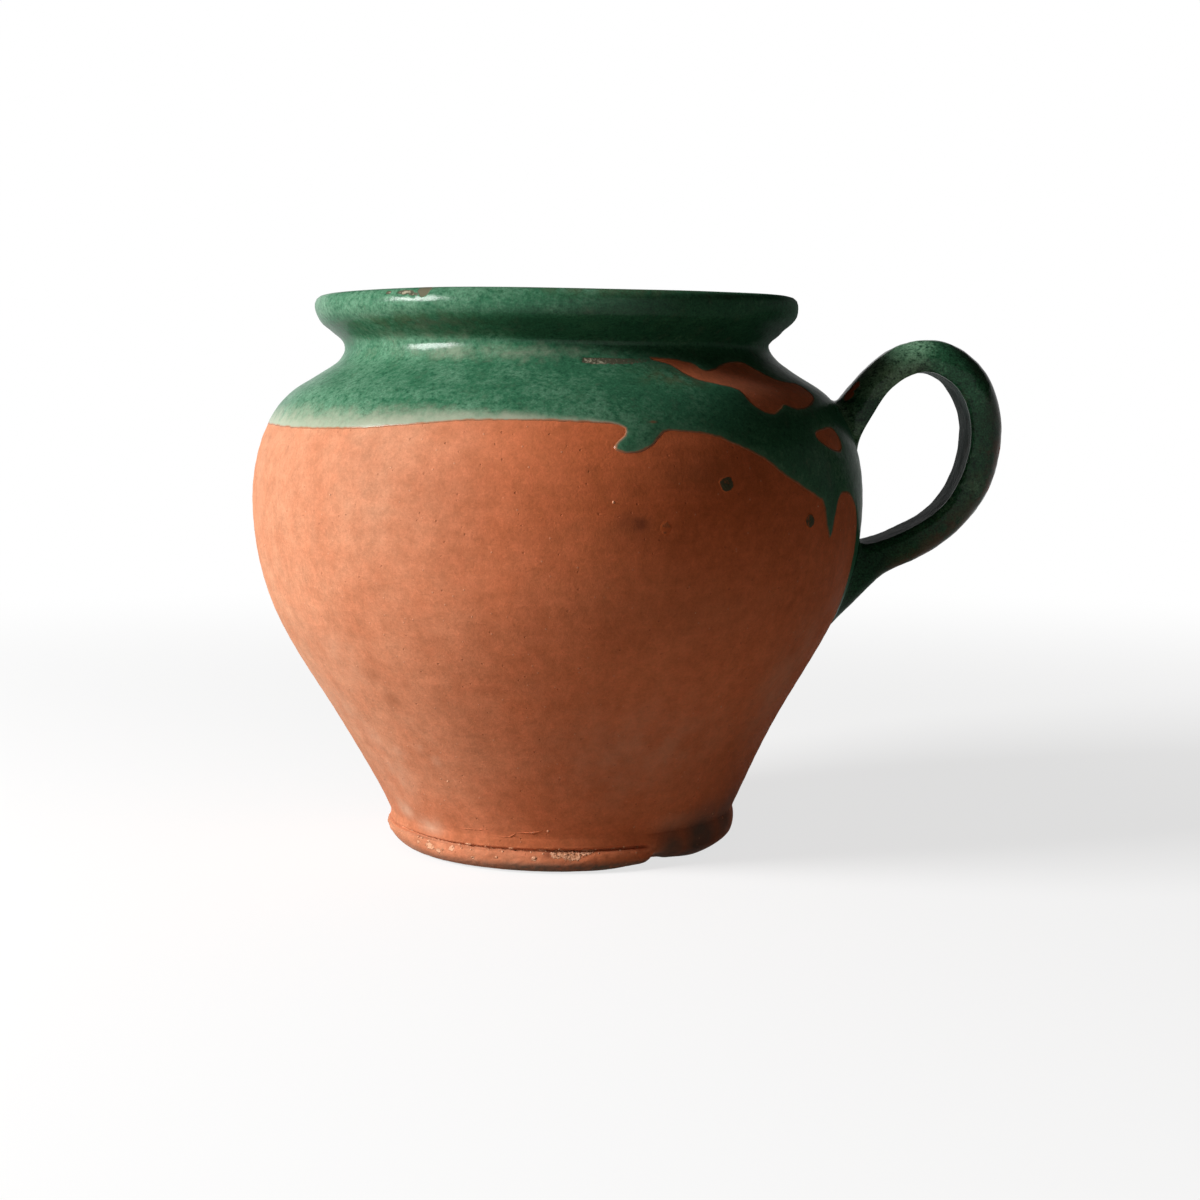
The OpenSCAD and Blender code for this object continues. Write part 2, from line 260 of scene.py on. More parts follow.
rings = calc(throwing, "SINE", total(throwing, angle, product(throwing, turns_up, 2 * math.pi)))
relief = product(throwing, ring_share, total(
    throwing, product(throwing, rings, given["Ring height"]),
    product(throwing, less(throwing, lumps, 0.85), given["Unevenness"])))
far_side = calc(throwing, "MAXIMUM", product(throwing, cosine, -1), 0)
handle_side = calc(throwing, "MAXIMUM", cosine, 0)
outside = calc(throwing, "LESS_THAN", row, total(throwing, given["Crest row"], 0.5))
front_left = product(throwing, eased(throwing, degrees, 198, 222), eased(throwing, degrees, 285, 255))
left_end = product(throwing, far_side, eased(throwing, degrees, 228, 204))
swells = []
for side, share, lowest, middle, highest in (
        (far_side, 0.6, 0.1345, 0.1370, 0.1400), (far_side, 0.45, 0.1440, 0.1474, 0.1505),
        (far_side, -0.9, 0.1265, 0.1322, 0.1360), (far_side, 0.5, 0.034, 0.057, 0.080),
        (handle_side, -0.7, 0.1385, 0.1418, 0.1450), (handle_side, 0.9, 0.0, 0.018, 0.042),
        (front_left, -0.8, 0.1454, 0.1488, 0.1515), (front_left, 0.2, 0.1426, 0.1443, 0.1464),
        (front_left, 0.55, 0.1320, 0.1352, 0.1382), (front_left, -0.2, 0.1290, 0.1316, 0.1340), (far_side, 0.15, 0.045, 0.080, 0.112),
        (left_end, 1.0, 0.0020, 0.0050, 0.0094)):
    hump = product(throwing, eased(throwing, height, lowest, middle), eased(throwing, height, highest, middle))
    swells.append(product(throwing, side, hump, share))
swell = product(throwing, total(throwing, *swells), outside, given["Hand swell"])
sides = total(throwing, far_side, product(throwing, handle_side, 0.75))
corner_cut = product(throwing, eased(throwing, height, 0.0036, 0.0), eased(throwing, reach, 0.030, 0.042),
                     sides, given["Corner wear"])
radius = less(throwing, total(throwing, reach, relief, swell), corner_cut)
near_foot = eased(throwing, height, 0.030, 0.0)
behind = eased(throwing, degrees, 300.6, 302.4)
after_break = total(throwing, product(throwing, behind, eased(throwing, degrees, 327.0, 307.0)),
                    product(throwing, behind, eased(throwing, degrees, 311.0, 304.0), 1.0),
                    product(throwing, eased(throwing, degrees, 283.0, 300.0), less(throwing, 1.0, behind), 0.6))
at_edge = product(throwing, eased(throwing, height, 0.0065, 0.0), eased(throwing, reach, 0.036, 0.043))
front_drop = product(throwing, eased(throwing, degrees, 238, 292),
                     level_of(throwing, eased(throwing, degrees, 310, 345), 0.0, 1.0, 1.0, 0.6))
back_drop = product(throwing, eased(throwing, degrees, 150, 60), 0.6)
tilt = product(throwing, eased(throwing, height, 0.118, 0.146), total(throwing, front_drop, back_drop))
lip_height = product(throwing, eased(throwing, height, 0.0, 0.0035), eased(throwing, height, 0.0085, 0.005))
lip_rise = product(throwing, lip_height, outside, eased(throwing, reach, 0.040, 0.045),
                   eased(throwing, degrees, 96, 140), eased(throwing, degrees, 238, 200), given["Lip rise"])
lifted = less(throwing, total(throwing, height, lip_rise,
                              product(throwing, after_break, at_edge, given["Foot lift"])),
              product(throwing, tilt, given["Rim drop"]))
thrown_place = add(throwing, "ShaderNodeCombineXYZ", {
    "X": total(throwing, product(throwing, radius, cosine), product(throwing, near_foot, given["Foot shift"])),
    "Y": product(throwing, radius, sine), "Z": lifted}).outputs[0]
before_seam = calc(throwing, "LESS_THAN", degrees, 359.9)
marked = sheet.outputs["Mesh"]
for name, value in (("azimuth", product(throwing, degrees, before_seam)), ("row", row)):
    marked = add(throwing, "GeometryNodeStoreNamedAttribute", {
        "Geometry": marked, "Name": name, "Value": value}, data_type="FLOAT", domain="POINT").outputs[0]
shaped = add(throwing, "GeometryNodeSetPosition", {"Geometry": marked, "Position": thrown_place}).outputs[0]
joined = add(throwing, "GeometryNodeMergeByDistance", {"Geometry": shaped, "Distance": 0.000004}).outputs[0]
low_place = add(throwing, "ShaderNodeSeparateXYZ", {0: place}).outputs["Z"]
own_row, own_azimuth = (
    add(throwing, "GeometryNodeInputNamedAttribute", {"Name": name}, data_type="FLOAT").outputs[0]
    for name in ("row", "azimuth"))
bare_wall = product(throwing, within_range(throwing, own_row, less(throwing, given["Waist row"], 8),
                                           less(throwing, given["Crest row"], 20)),
                    calc(throwing, "LESS_THAN", low_place, 0.110))
lip_crest = product(throwing, within_range(throwing, own_azimuth, given["Lip starts"], given["Lip breaks"]),
                    within_range(throwing, low_place, 0.0049, 0.0066),
                    calc(throwing, "LESS_THAN", own_row, given["Waist row"]))
both = add(throwing, "GeometryNodeJoinGeometry")
for chosen, amount, size, flatness, name_of_grain in (
        (bare_wall, given["Lime per square metre"], given["Lime size"], 0.45, "lime"),
        (lip_crest, given["Crumbs per square metre"], given["Crumb size"], 0.6, "chip")):
    scatter = add(throwing, "GeometryNodeDistributePointsOnFaces", {
        "Mesh": joined, "Selection": chosen, "Density": amount, "Seed": given["Seed"]},
        distribute_method="RANDOM")
    grain = add(throwing, "GeometryNodeMeshIcoSphere", {"Radius": size, "Subdivisions": 1})
    flattened = add(throwing, "ShaderNodeCombineXYZ", {"X": 1.0, "Y": 1.0, "Z": flatness}).outputs[0]
    various = add(throwing, "FunctionNodeRandomValue", {"Seed": given["Seed"]}, data_type="FLOAT")
    various.inputs[2].default_value, various.inputs[3].default_value = 0.45, 1.25
    grain_size = add(throwing, "ShaderNodeVectorMath", {0: flattened}, operation="SCALE")
    throwing.links.new(various.outputs[1], grain_size.inputs["Scale"])
    grains = add(throwing, "GeometryNodeInstanceOnPoints", {
        "Points": scatter.outputs["Points"], "Instance": grain.outputs["Mesh"],
        "Rotation": scatter.outputs["Rotation"], "Scale": grain_size.outputs[0]}).outputs[0]
    grains = add(throwing, "GeometryNodeRealizeInstances", {"Geometry": grains}).outputs[0]
    for name, value in ((name_of_grain, 0.8), ("loose", 1.0)):
        grains = add(throwing, "GeometryNodeStoreNamedAttribute", {
            "Geometry": grains, "Name": name, "Value": value}, data_type="FLOAT", domain="POINT").outputs[0]
    throwing.links.new(grains, both.inputs[0])
throwing.links.new(joined, both.inputs[0])
coloured = add(throwing, "GeometryNodeSetMaterial", {
    "Geometry": both.outputs[0], "Material": given["Clay"]}).outputs[0]
finished = add(throwing, "GeometryNodeSetShadeSmooth", {"Geometry": coloured}).outputs[0]
throwing.links.new(finished, add(throwing, "NodeGroupOutput").inputs[0])


def new_piece(name, points, faces, material):
    """An object of these points, in metres, and faces, with smooth shading"""
    mesh = bpy.data.meshes.new(name)
    mesh.from_pydata([tuple(p) for p in points], [], faces)
    mesh.shade_smooth()
    mesh.materials.append(material)
    piece = bpy.data.objects.new(name, mesh)
    bpy.context.scene.collection.objects.link(piece)
    return piece


def marks(piece, name, values):
    """Stores one number for each point, which the piece's material reads"""
    layer = piece.data.attributes.get(name) or piece.data.attributes.new(name, "FLOAT", "POINT")
    layer.data.foreach_set("value", np.asarray(values, np.float32))


def mix(tree, share, first, second, mode="MIX"):
    """Two colours in one"""
    node = add(tree, "ShaderNodeMix", data_type="RGBA", blend_type=mode, clamp_result=False)
    for socket, value in ((node.inputs[0], share), (node.inputs[6], first), (node.inputs[7], second)):
        if isinstance(value, bpy.types.NodeSocket):
            tree.links.new(value, socket)
        else:
            socket.default_value = (*value, 1) if isinstance(value, tuple) else value
    return node.outputs[2]


def shades(tree, value, stops):
    """A colour for each level of a value"""
    node = add(tree, "ShaderNodeValToRGB", {0: value})
    band = node.color_ramp
    while len(band.elements) < len(stops):
        band.elements.new(1.0)
    for element, (level, colour) in zip(band.elements, stops):
        element.position = level
        element.color = (*colour, 1)
    return node.outputs[0]


def speckle(tree, coords, size, detail=2.0, rough=0.5, stretch=None):
    """Noise with features about this many metres across"""
    if stretch:
        coords = add(tree, "ShaderNodeMapping", {"Vector": coords, "Scale": stretch}).outputs[0]
    return add(tree, "ShaderNodeTexNoise", {"Vector": coords, "Scale": 1 / size, "Detail": detail,
                                            "Roughness": rough}).outputs[0]


def dots(tree, coords, gap, size):
    """1 in small round dots of this size, strewn about this far apart, and 0 between them"""
    near = add(tree, "ShaderNodeTexVoronoi", {"Vector": coords, "Scale": 1 / gap}).outputs["Distance"]
    return eased(tree, near, size / gap, 0.5 * size / gap)


def mark(tree, name):
    """The number that a piece stores under this name"""
    return add(tree, "ShaderNodeAttribute", attribute_name=name, attribute_type="GEOMETRY").outputs["Fac"]


def clay_look(tree, coords):
    """Colour and relief of bare fired terracotta, with some painted light and shade laid into the colour"""
    clouds = speckle(tree, coords, 0.060, 3.0, 0.55)
    patches = speckle(tree, coords, 0.009, 4.0, 0.6)
    freckles = speckle(tree, coords, 0.0030, 3.0, 0.6)
    wiping = speckle(tree, coords, 0.0017, 3.0, 0.6, (0.06, 0.06, 1.0))
    bands = speckle(tree, coords, 0.0090, 2.0, 0.5, (0.05, 0.05, 1.0))
    smears = speckle(tree, coords, 0.0055, 2.0, 0.5, (1.0, 1.0, 0.14))
    sand = speckle(tree, coords, 0.0008, 3.0, 0.65)
    pores = speckle(tree, coords, 0.00035, 1.0, 0.5)
    pits = dots(tree, coords, 0.0034, 0.00034)
    grit = dots(tree, add(tree, "ShaderNodeMapping", {"Vector": coords, "Location": (0.7, 0.3, 0.1)}).outputs[0],
                0.0032, 0.00030)
    colour = shades(tree, clouds, [(0.30, (0.470, 0.112, 0.035)), (0.50, (0.510, 0.123, 0.040)),
                                   (0.72, (0.540, 0.142, 0.050))])
    colour = mix(tree, level_of(tree, freckles, 0.35, 0.65, 0.0, 0.45), colour, (0.560, 0.130, 0.052))
    # Pale bloom, partly a dry bloom on the clay and partly painted light: it lies mostly round the lit left side and
    # pales the clay there as strong light would.
    bloom_and_light_share = product(tree, mark(tree, "painted_light_bloom"), level_of(tree, patches, 0.30, 0.70, 0.80, 1.12))
    colour = mix(tree, bloom_and_light_share, colour, (0.500, 0.300, 0.190))
    # Painted light: the wall from about 30 to 104 mm up is made up to a tenth lighter, standing in for more light on
    # the lower belly.
    height_here = add(tree, "ShaderNodeSeparateXYZ", {0: coords}).outputs["Z"]
    painted_light_below = product(tree, eased(tree, height_here, 0.104, 0.076), eased(tree, height_here, 0.030, 0.056))
    colour = mix(tree, 1.0, colour, level_of(tree, painted_light_below, 0.0, 1.0, 1.0, 1.10), "MULTIPLY")
    for layer, low, high, dark, light in ((patches, 0.30, 0.72, 0.94, 1.05), (bands, 0.30, 0.70, 0.97, 1.02),
                                          (smears, 0.30, 0.70, 0.96, 1.03), (wiping, 0.28, 0.72, 0.96, 1.03),
                                          (freckles, 0.30, 0.70, 0.89, 1.08), (sand, 0.30, 0.70, 0.89, 1.09),
                                          (pores, 0.25, 0.75, 0.94, 1.05)):
        colour = mix(tree, 1.0, colour, level_of(tree, layer, low, high, dark, light), "MULTIPLY")
    broken = level_of(tree, patches, 0.38, 0.62, 0.3, 1.0)
    # The scorch stain is real scorching on the belly; its spots low on the foot lip are partly dirt and partly painted
    # shade in notches.
    for name, strength, stain in (("dust", 1.0, (0.560, 0.320, 0.215)), ("smudge", 0.8, (0.270, 0.088, 0.036)),
                                  ("scorch_and_notch_shade", 1.0, (0.175, 0.046, 0.022))):
        colour = mix(tree, product(tree, mark(tree, name), broken, strength), colour, stain)
    # Grime and painted shade: grey-brown darkening under the foot lip, where it faces down, and in its groove; grime
    # behind the break.
    grime_and_shade_share = product(tree, mark(tree, "grime_and_painted_shade"), level_of(tree, patches, 0.30, 0.60, 0.75, 1.0))
    colour = mix(tree, grime_and_shade_share, colour, (0.105, 0.078, 0.060))
    colour = mix(tree, product(tree, pits, 0.25), colour, (0.180, 0.055, 0.025))
    colour = mix(tree, product(tree, grit, 0.40), colour, (0.620, 0.340, 0.220))
    crumble = speckle(tree, coords, 0.0011, 3.0, 0.7)
    fresh = mix(tree, level_of(tree, crumble, 0.36, 0.54, 0.0, 1.0), (0.380, 0.150, 0.070), (0.660, 0.350, 0.215))
    broken_off = eased(tree, total(tree, mark(tree, "chip"), product(tree, less(tree, crumble, 0.5), 1.1)), 0.36, 0.52)
    colour = mix(tree, broken_off, colour, fresh)
    colour = mix(tree, mark(tree, "lime"), colour, (0.680, 0.380, 0.240))
    relief = total(tree, product(tree, wiping, 0.45), product(tree, freckles, 0.5),
                   product(tree, sand, 0.6), product(tree, pores, 0.25), product(tree, pits, -0.9),
                   product(tree, grit, 0.5), product(tree, broken_off, crumble, 4.0))
    return colour, relief


terracotta = bpy.data.materials.new("bare terracotta")
terracotta.use_nodes = True
tree = terracotta.node_tree
shader = tree.nodes["Principled BSDF"]
coords = add(tree, "ShaderNodeTexCoord").outputs["Object"]
colour, relief = clay_look(tree, coords)
tree.links.new(colour, shader.inputs["Base Color"])
tree.links.new(level_of(tree, speckle(tree, coords, 0.012, 3.0), 0.3, 0.7, 0.66, 0.80),
               shader.inputs["Roughness"])
tree.links.new(add(tree, "ShaderNodeBump", {"Height": relief, "Strength": 1.0, "Distance": 0.00011}).outputs[0],
               shader.inputs["Normal"])
shader.inputs["IOR"].default_value = 1.12
shader.inputs["Sheen Weight"].default_value = 0.06
shader.inputs["Sheen Roughness"].default_value = 0.45
shader.inputs["Sheen Tint"].default_value = (1.0, 0.86, 0.74, 1)

profile_points = [(r * mm, 0, z * mm) for line in profiles for r, z in line]
vessel = new_piece("vessel", profile_points, [], terracotta)
rows = np.arange(row_count)
share = np.clip((rows - waist_row + 2) / 6, 0, 1) * np.clip((crest_row - 6 - rows) / 14, 0, 1)
marks(vessel, "ring_share", np.concatenate([share, share]))
wheel = vessel.modifiers.new("throwing", "NODES")
wheel.node_group = throwing
for name, value in (("Rows", row_count), ("Steps round", steps_round), ("Waist row", waist_row),
                    ("Crest row", crest_row), ("Ring pitch", 0.0042), ("Ring height", 0.00003),
                    ("Unevenness", 0.0007), ("Rim drop", 0.0008), ("Hand swell", 0.0008),
                    ("Foot shift", 0.0007), ("Foot lift", 0.0012), ("Corner wear", 0.0016), ("Lip rise", 0.0011),
                    ("Lip starts", float(lip_starts)), ("Lip breaks", float(lip_breaks)),
                    ("Lime per square metre", 520.0), ("Lime size", 0.00034),
                    ("Crumbs per square metre", 160000.0), ("Crumb size", 0.00030),
                    ("Seed", 7), ("Clay", terracotta)):
    wheel[throwing.interface.items_tree[name].identifier] = value


def settled(piece):
    """The piece with its modifiers worked into a plain mesh"""
    bpy.context.view_layer.update()
    ready = bpy.data.meshes.new_from_object(piece.evaluated_get(bpy.context.evaluated_depsgraph_get()))
    piece.modifiers.clear()
    piece.data = ready
    ready.name = piece.name
    return piece


settled(vessel)


def points_of(piece):
    places = np.empty(len(piece.data.vertices) * 3, np.float32)
    piece.data.vertices.foreach_get("co", places)
    return places.reshape(-1, 3).astype(float)


def numbers_of(piece, name):
    values = np.empty(len(piece.data.vertices), np.float32)
    piece.data.attributes[name].data.foreach_get("value", values)
    return values.astype(float)


def spots(azimuth, level, places):
    """How much of a stain each point has, from spots of azimuth, height, half sizes and strength"""
    share = np.zeros(len(azimuth))
    for turn, middle, wide, tall, strength in places:
        off = (azimuth - turn + 180) % 360 - 180
        far = np.hypot(off / wide, (level - middle) / tall)
        share = np.maximum(share, strength * np.clip(1.3 - far, 0, 1) ** 1.5)
    return np.clip(share, 0, 1)


def ridge(azimuth, level, path, wide, degree):
    """1 on a line through points of azimuth and height, and 0 at this many millimetres from it"""
    close = np.full(len(azimuth), 9.0)
    flat = np.stack([azimuth * degree, level], axis=1)
    stretched = np.array(path, float) * [degree, 1]
    for start, end in zip(stretched[:-1], stretched[1:]):
        way = end - start
        t = np.clip((flat - start) @ way / (way @ way), 0, 1)
        close = np.minimum(close, np.linalg.norm(flat - start - t[:, None] * way, axis=1))
    return np.clip(1 - close / wide, 0, 1)


# The foot's hand work: chips in the lip, crumbs of clay dragged along it, and burrs from a tool
foot_degree = waist[0] * math.pi / 180
places, turned_at, at_row = points_of(vessel), numbers_of(vessel, "azimuth"), numbers_of(vessel, "row")
is_loose = numbers_of(vessel, "loose") > 0.5
level = places[:, 2] / mm
on_wall = (at_row > len(underside) - 1.5) & (at_row < crest_row) & ~is_loose
low_down = places * (on_wall & (level < 12))[:, None]
crumbly = np.array([noise.noise(Vector(p) * 900) for p in low_down])
on_lip = (level < 6.4) * (turned_at > lip_starts) * (turned_at < lip_breaks)
chips = [(270.5, 5.3, 3.8, 1.3, 1.0), (274.5, 4.9, 4.0, 1.7, 1.0), (279.0, 5.7, 3.4, 0.8, 0.9),
         (262.8, 4.2, 1.2, 0.9, 0.9), (224.0, 4.4, 3.0, 1.3, 0.8), (228.0, 3.7, 1.6, 1.0, 0.8),
         (233.7, 4.9, 1.3, 0.9, 1.0), (218.0, 4.8, 1.6, 0.8, 0.8), (241.8, 3.3, 1.0, 0.5, 0.8),
         (250.3, 4.0, 1.3, 0.6, 0.8), (150.0, 4.2, 4.0, 1.6, 0.9), (176.0, 5.0, 2.0, 1.0, 0.7)]
chip = spots(turned_at, level, chips) * on_wall
dragged = ridge(turned_at, level, [(190, 6.6), (223, 6.7), (252, 6.8), (285, 6.8)], 0.4, foot_degree)
dragged *= np.clip(0.4 + crumbly, 0, 1)
push = on_wall * (0.30 * dragged - 0.42 * chip * (1 + 1.2 * crumbly) + 0.20 * crumbly * on_lip)
outward = places[:, :2] / np.maximum(np.linalg.norm(places[:, :2], axis=1), 1e-6)[:, None]
places[:, :2] += outward * push[:, None] * mm
vessel.data.vertices.foreach_set("co", places.astype(np.float32).ravel())

grid = np.zeros((row_count, steps_round, 3))
mine = ~is_loose
column_of = np.rint(turned_at[mine] / 360 * steps_round).astype(int) % steps_round
grid[np.rint(at_row[mine]).astype(int), column_of] = places[mine]
grid[[0, -1]] = grid[[0, -1]].max(axis=1, keepdims=True)
row_way = np.gradient(grid, axis=0)
turn_way = np.roll(grid, -1, axis=1) - np.roll(grid, 1, axis=1)
up = np.cross(turn_way, row_way)
up /= np.maximum(np.linalg.norm(up, axis=2), 1e-12)[:, :, None]


def on_rows(azimuth, line):
    """Places on the clay and their outward directions, for azimuths and rows with fractions"""
    r0 = np.clip(np.floor(line).astype(int), 0, row_count - 2)
    fr = (line - r0)[:, None]
    column = np.asarray(azimuth, float) % 360 / 360 * steps_round
    c0 = np.floor(column).astype(int) % steps_round
    c1, fc = (c0 + 1) % steps_round, (column - np.floor(column))[:, None]

    def between(table):
        return ((table[r0, c0] * (1 - fc) + table[r0, c1] * fc) * (1 - fr)
                + (table[r0 + 1, c0] * (1 - fc) + table[r0 + 1, c1] * fc) * fr)
    outward = between(up)
    return between(grid), outward / np.maximum(np.linalg.norm(outward, axis=1), 1e-12)[:, None]


def low_rows(azimuth, z):
    """The rows, with fractions, that pass through heights near the foot at these azimuths"""
    rows = np.arange(len(underside), waist_row + 20)
    columns = (np.asarray(azimuth) % 360 / 360 * steps_round).astype(int)
    return np.array([np.interp(h, grid[rows, c, 2] / mm, rows) for h, c in zip(z, columns)])


def shell_faces(rings, points, start=0, flip=False):
    """Four-sided faces between rings that are closed round themselves"""
    faces = []
    for i in range(rings - 1):
        for k in range(points):
            a, b = start + i * points + k, start + i * points + (k + 1) % points
            quad = (a, a + points, b + points, b)
            faces.append(quad[::-1] if flip else quad)
    return faces


extra_points, extra_faces, extra_chips = [], [], []


def keep_extra(points, faces, chipped):
    """Adds one small closed lump of clay to those that will be joined to the vessel"""
    start = sum(len(p) for p in extra_points)
    extra_points.append(points)
    extra_faces.extend(tuple(start + v for v in face) for face in faces)
    extra_chips.append(np.full(len(points), chipped))


burr_width, burr_height, buried = 0.44, 0.17, 0.12
for path in ([(238.5, 10.9), (243.0, 11.0), (248.0, 11.4)], [(250.8, 9.7), (253.0, 9.5), (254.9, 9.7), (257.0, 10.7)],
             [(257.6, 11.1), (262.0, 11.1), (265.6, 11.7)], [(352.0, 9.8), (372.0, 10.2)], [(160.0, 10.0), (171.0, 10.8)]):
    line = spaced(np.array(path, float) * [foot_degree, 1], 0.22) / [foot_degree, 1]
    base, out = on_rows(line[:, 0], low_rows(line[:, 0], line[:, 1]))
    aside = np.cross(out, np.gradient(base, axis=0))
    aside /= np.linalg.norm(aside, axis=1)[:, None]
    passed = np.linspace(0, 1, len(line))
    swell = np.clip(8 * np.minimum(passed, 1 - passed), 0.15, 1) * [0.75 + 0.6 * noise.noise(Vector(p) * 1300) for p in base]
    half = aside * (burr_width / 2 * swell * mm)[:, None]
    top = base + out * (burr_height * swell * mm)[:, None]
    foot_line = base - out * buried * mm
    rings = np.stack([foot_line - half, top - half * 0.4, top + half * 0.2, foot_line + half], axis=1)
    last = (len(line) - 1) * 4
    keep_extra(rings.reshape(-1, 3), shell_faces(len(line), 4) + [(0, 1, 2, 3), (last + 3, last + 2, last + 1, last)], 0.25)

ball = bmesh.new()
shape_ops.create_icosphere(ball, subdivisions=2, radius=1.0)
ball_points = np.array([v.co[:] for v in ball.verts])
ball_faces = [tuple(v.index for v in face.verts) for face in ball.faces]
ball.free()
crumbs = [(223.2, 5.6, 1.2, 0.6), (233.7, 5.3, 1.0, 0.8), (240.1, 6.7, 2.0, 0.6), (255.1, 6.6, 1.6, 0.6),
          (264.7, 6.4, 2.2, 0.45), (241.8, 3.5, 0.8, 0.5), (250.3, 4.1, 1.1, 0.7), (262.8, 4.4, 1.5, 1.0),
          (227.0, 6.3, 0.9, 0.5), (230.2, 4.3, 0.9, 0.7), (219.5, 5.9, 1.0, 0.6), (236.0, 6.0, 0.8, 0.5),
          (246.5, 6.6, 0.9, 0.4), (212.0, 6.8, 1.2, 0.5), (205.5, 6.9, 1.4, 0.6), (267.3, 11.7, 0.6, 0.6)]
crumbs += [(269.0 + 1.9 * k, 5.3 + 0.9 * noise.noise(Vector((k * 1.7, 2.0, 0.0))), 1.2, 0.45) for k in range(6)]
for number, (turn_at, z, long, tall) in enumerate(crumbs):
    base, out = on_rows(np.array([turn_at]), low_rows([turn_at], [z]))
    east = np.cross([0, 0, 1], out[0])
    east /= np.linalg.norm(east)
    ragged = 1 + 0.45 * np.array([noise.noise(Vector(p) * 1.6 + Vector((number, 0, 0))) for p in ball_points])
    sized = ball_points * ragged[:, None] * np.array([long / 2, tall / 2, 0.22]) * mm
    keep_extra(base[0] + sized @ np.array([east, np.cross(out[0], east), out[0]]), ball_faces, 0.62)

extra = new_piece("burrs and crumbs", np.vstack(extra_points), extra_faces, terracotta)
extra_places = np.vstack(extra_points)
marks(extra, "azimuth", np.degrees(np.arctan2(extra_places[:, 1], extra_places[:, 0])) % 360)
marks(extra, "chip", np.concatenate(extra_chips))
marks(extra, "loose", np.ones(len(extra_places)))
marks(extra, "row", np.full(len(extra_places), -1.0))
whole = bmesh.new()
whole.from_mesh(extra.data)
shape_ops.recalc_face_normals(whole, faces=whole.faces)
whole.from_mesh(vessel.data)
for face in whole.faces:
    face.material_index = 0
whole.to_mesh(vessel.data)
whole.free()
bpy.data.meshes.remove(extra.data)
vessel.data.materials.clear()
vessel.data.materials.append(terracotta)
vessel.data.update()

places, turned_at, at_row = points_of(vessel), numbers_of(vessel, "azimuth"), numbers_of(vessel, "row")
is_loose = numbers_of(vessel, "loose") > 0.5
level = places[:, 2] / mm
on_wall = (at_row > len(underside) - 1.5) & (at_row < crest_row) & ~is_loose
low_down = places * (on_wall & (level < 12))[:, None]
crumbly = np.array([noise.noise(Vector(p) * 900) for p in low_down])
marks(vessel, "chip", np.maximum(numbers_of(vessel, "chip"), on_wall * spots(turned_at, level, chips)))
# The pale bloom by azimuth and height is partly a dry bloom and partly painted light: strongest towards the lamp,
# fading out on the shaded right side.
lit_bloom_turns = [0, 40, 90, 150, 190, 207, 218, 226, 232, 240, 250, 262, 278, 300, 360]
high_lit_bloom = np.interp(turned_at, lit_bloom_turns,
                       [0.05, 0.1, 0.3, 0.5, 0.62, 0.58, 0.54, 0.52, 0.54, 0.56, 0.38, 0.17, 0.02, 0.0, 0.05])
low_lit_bloom = np.interp(turned_at, lit_bloom_turns,
                      [0.05, 0.1, 0.3, 0.5, 0.66, 0.60, 0.54, 0.50, 0.45, 0.42, 0.34, 0.20, 0.15, 0.12, 0.05])
foot_lit_bloom = np.interp(turned_at, lit_bloom_turns,
                       [0.05, 0.1, 0.2, 0.3, 0.5, 0.50, 0.48, 0.46, 0.44, 0.42, 0.40, 0.34, 0.20, 0.10, 0.05])
upper = np.interp(level, [72, 96], [0, 1])
painted_light_bloom = high_lit_bloom * upper + low_lit_bloom * (1 - upper) * np.interp(level, [8, 30], [0.6, 1])
marks(vessel, "painted_light_bloom", np.where(level < 6.4, foot_lit_bloom, painted_light_bloom))
marks(vessel, "dust", on_wall * spots(turned_at, level, [
    (216, 34, 5, 5, 0.75), (226.5, 31, 3.5, 2.5, 0.6), (233.6, 33.5, 2.4, 2, 0.5), (238, 30, 2, 1.8, 0.5),
    (218, 24, 11, 10, 0.35),
    (213, 13, 6, 3.5, 0.8), (224, 10, 8, 3.0, 0.85), (206, 44, 12, 12, 0.35), (222, 56, 8, 10, 0.25),
    (292, 33, 26, 18, 0.25), (330, 50, 12, 20, 0.30), (40, 35, 30, 14, 0.5), (110, 28, 22, 12, 0.5),
    (160, 60, 16, 16, 0.4), (310, 12, 12, 3, 0.3)]))
marks(vessel, "smudge", on_wall * spots(turned_at, level, [
    (230, 53.5, 4, 3, 0.75), (232.5, 46.5, 3.5, 3, 0.8), (238, 52, 1.5, 1.2, 0.6), (262, 54, 9, 3, 0.3),
    (297, 104.5, 7, 5, 0.55), (291, 105, 5, 4, 0.4), (274.3, 92.4, 2.0, 2.5, 0.6), (276.2, 105.8, 1.5, 1.5, 0.5),
    (250, 45, 8, 3, 0.25), (283, 91.5, 6, 5, 0.5), (300, 72, 16, 9, 0.3), (70, 80, 14, 7, 0.5),
    (150, 90, 8, 6, 0.5), (120, 50, 10, 5, 0.4), (20, 90, 9, 6, 0.4)]))
# Scorch marks on the belly; the spots low on the foot lip darken its notches and chips, partly dirt and partly painted
# shade.
marks(vessel, "scorch_and_notch_shade", on_wall * spots(turned_at, level, [
    (284.7, 92.7, 1.9, 2.3, 0.9), (282.5, 94.0, 2.6, 2.6, 0.35), (72, 79, 2.5, 2.5, 0.8),
    (266.7, 5.2, 1.7, 1.2, 1.0), (239.0, 2.9, 1.5, 0.6, 0.6), (225.5, 5.0, 2.0, 0.6, 0.5)]))
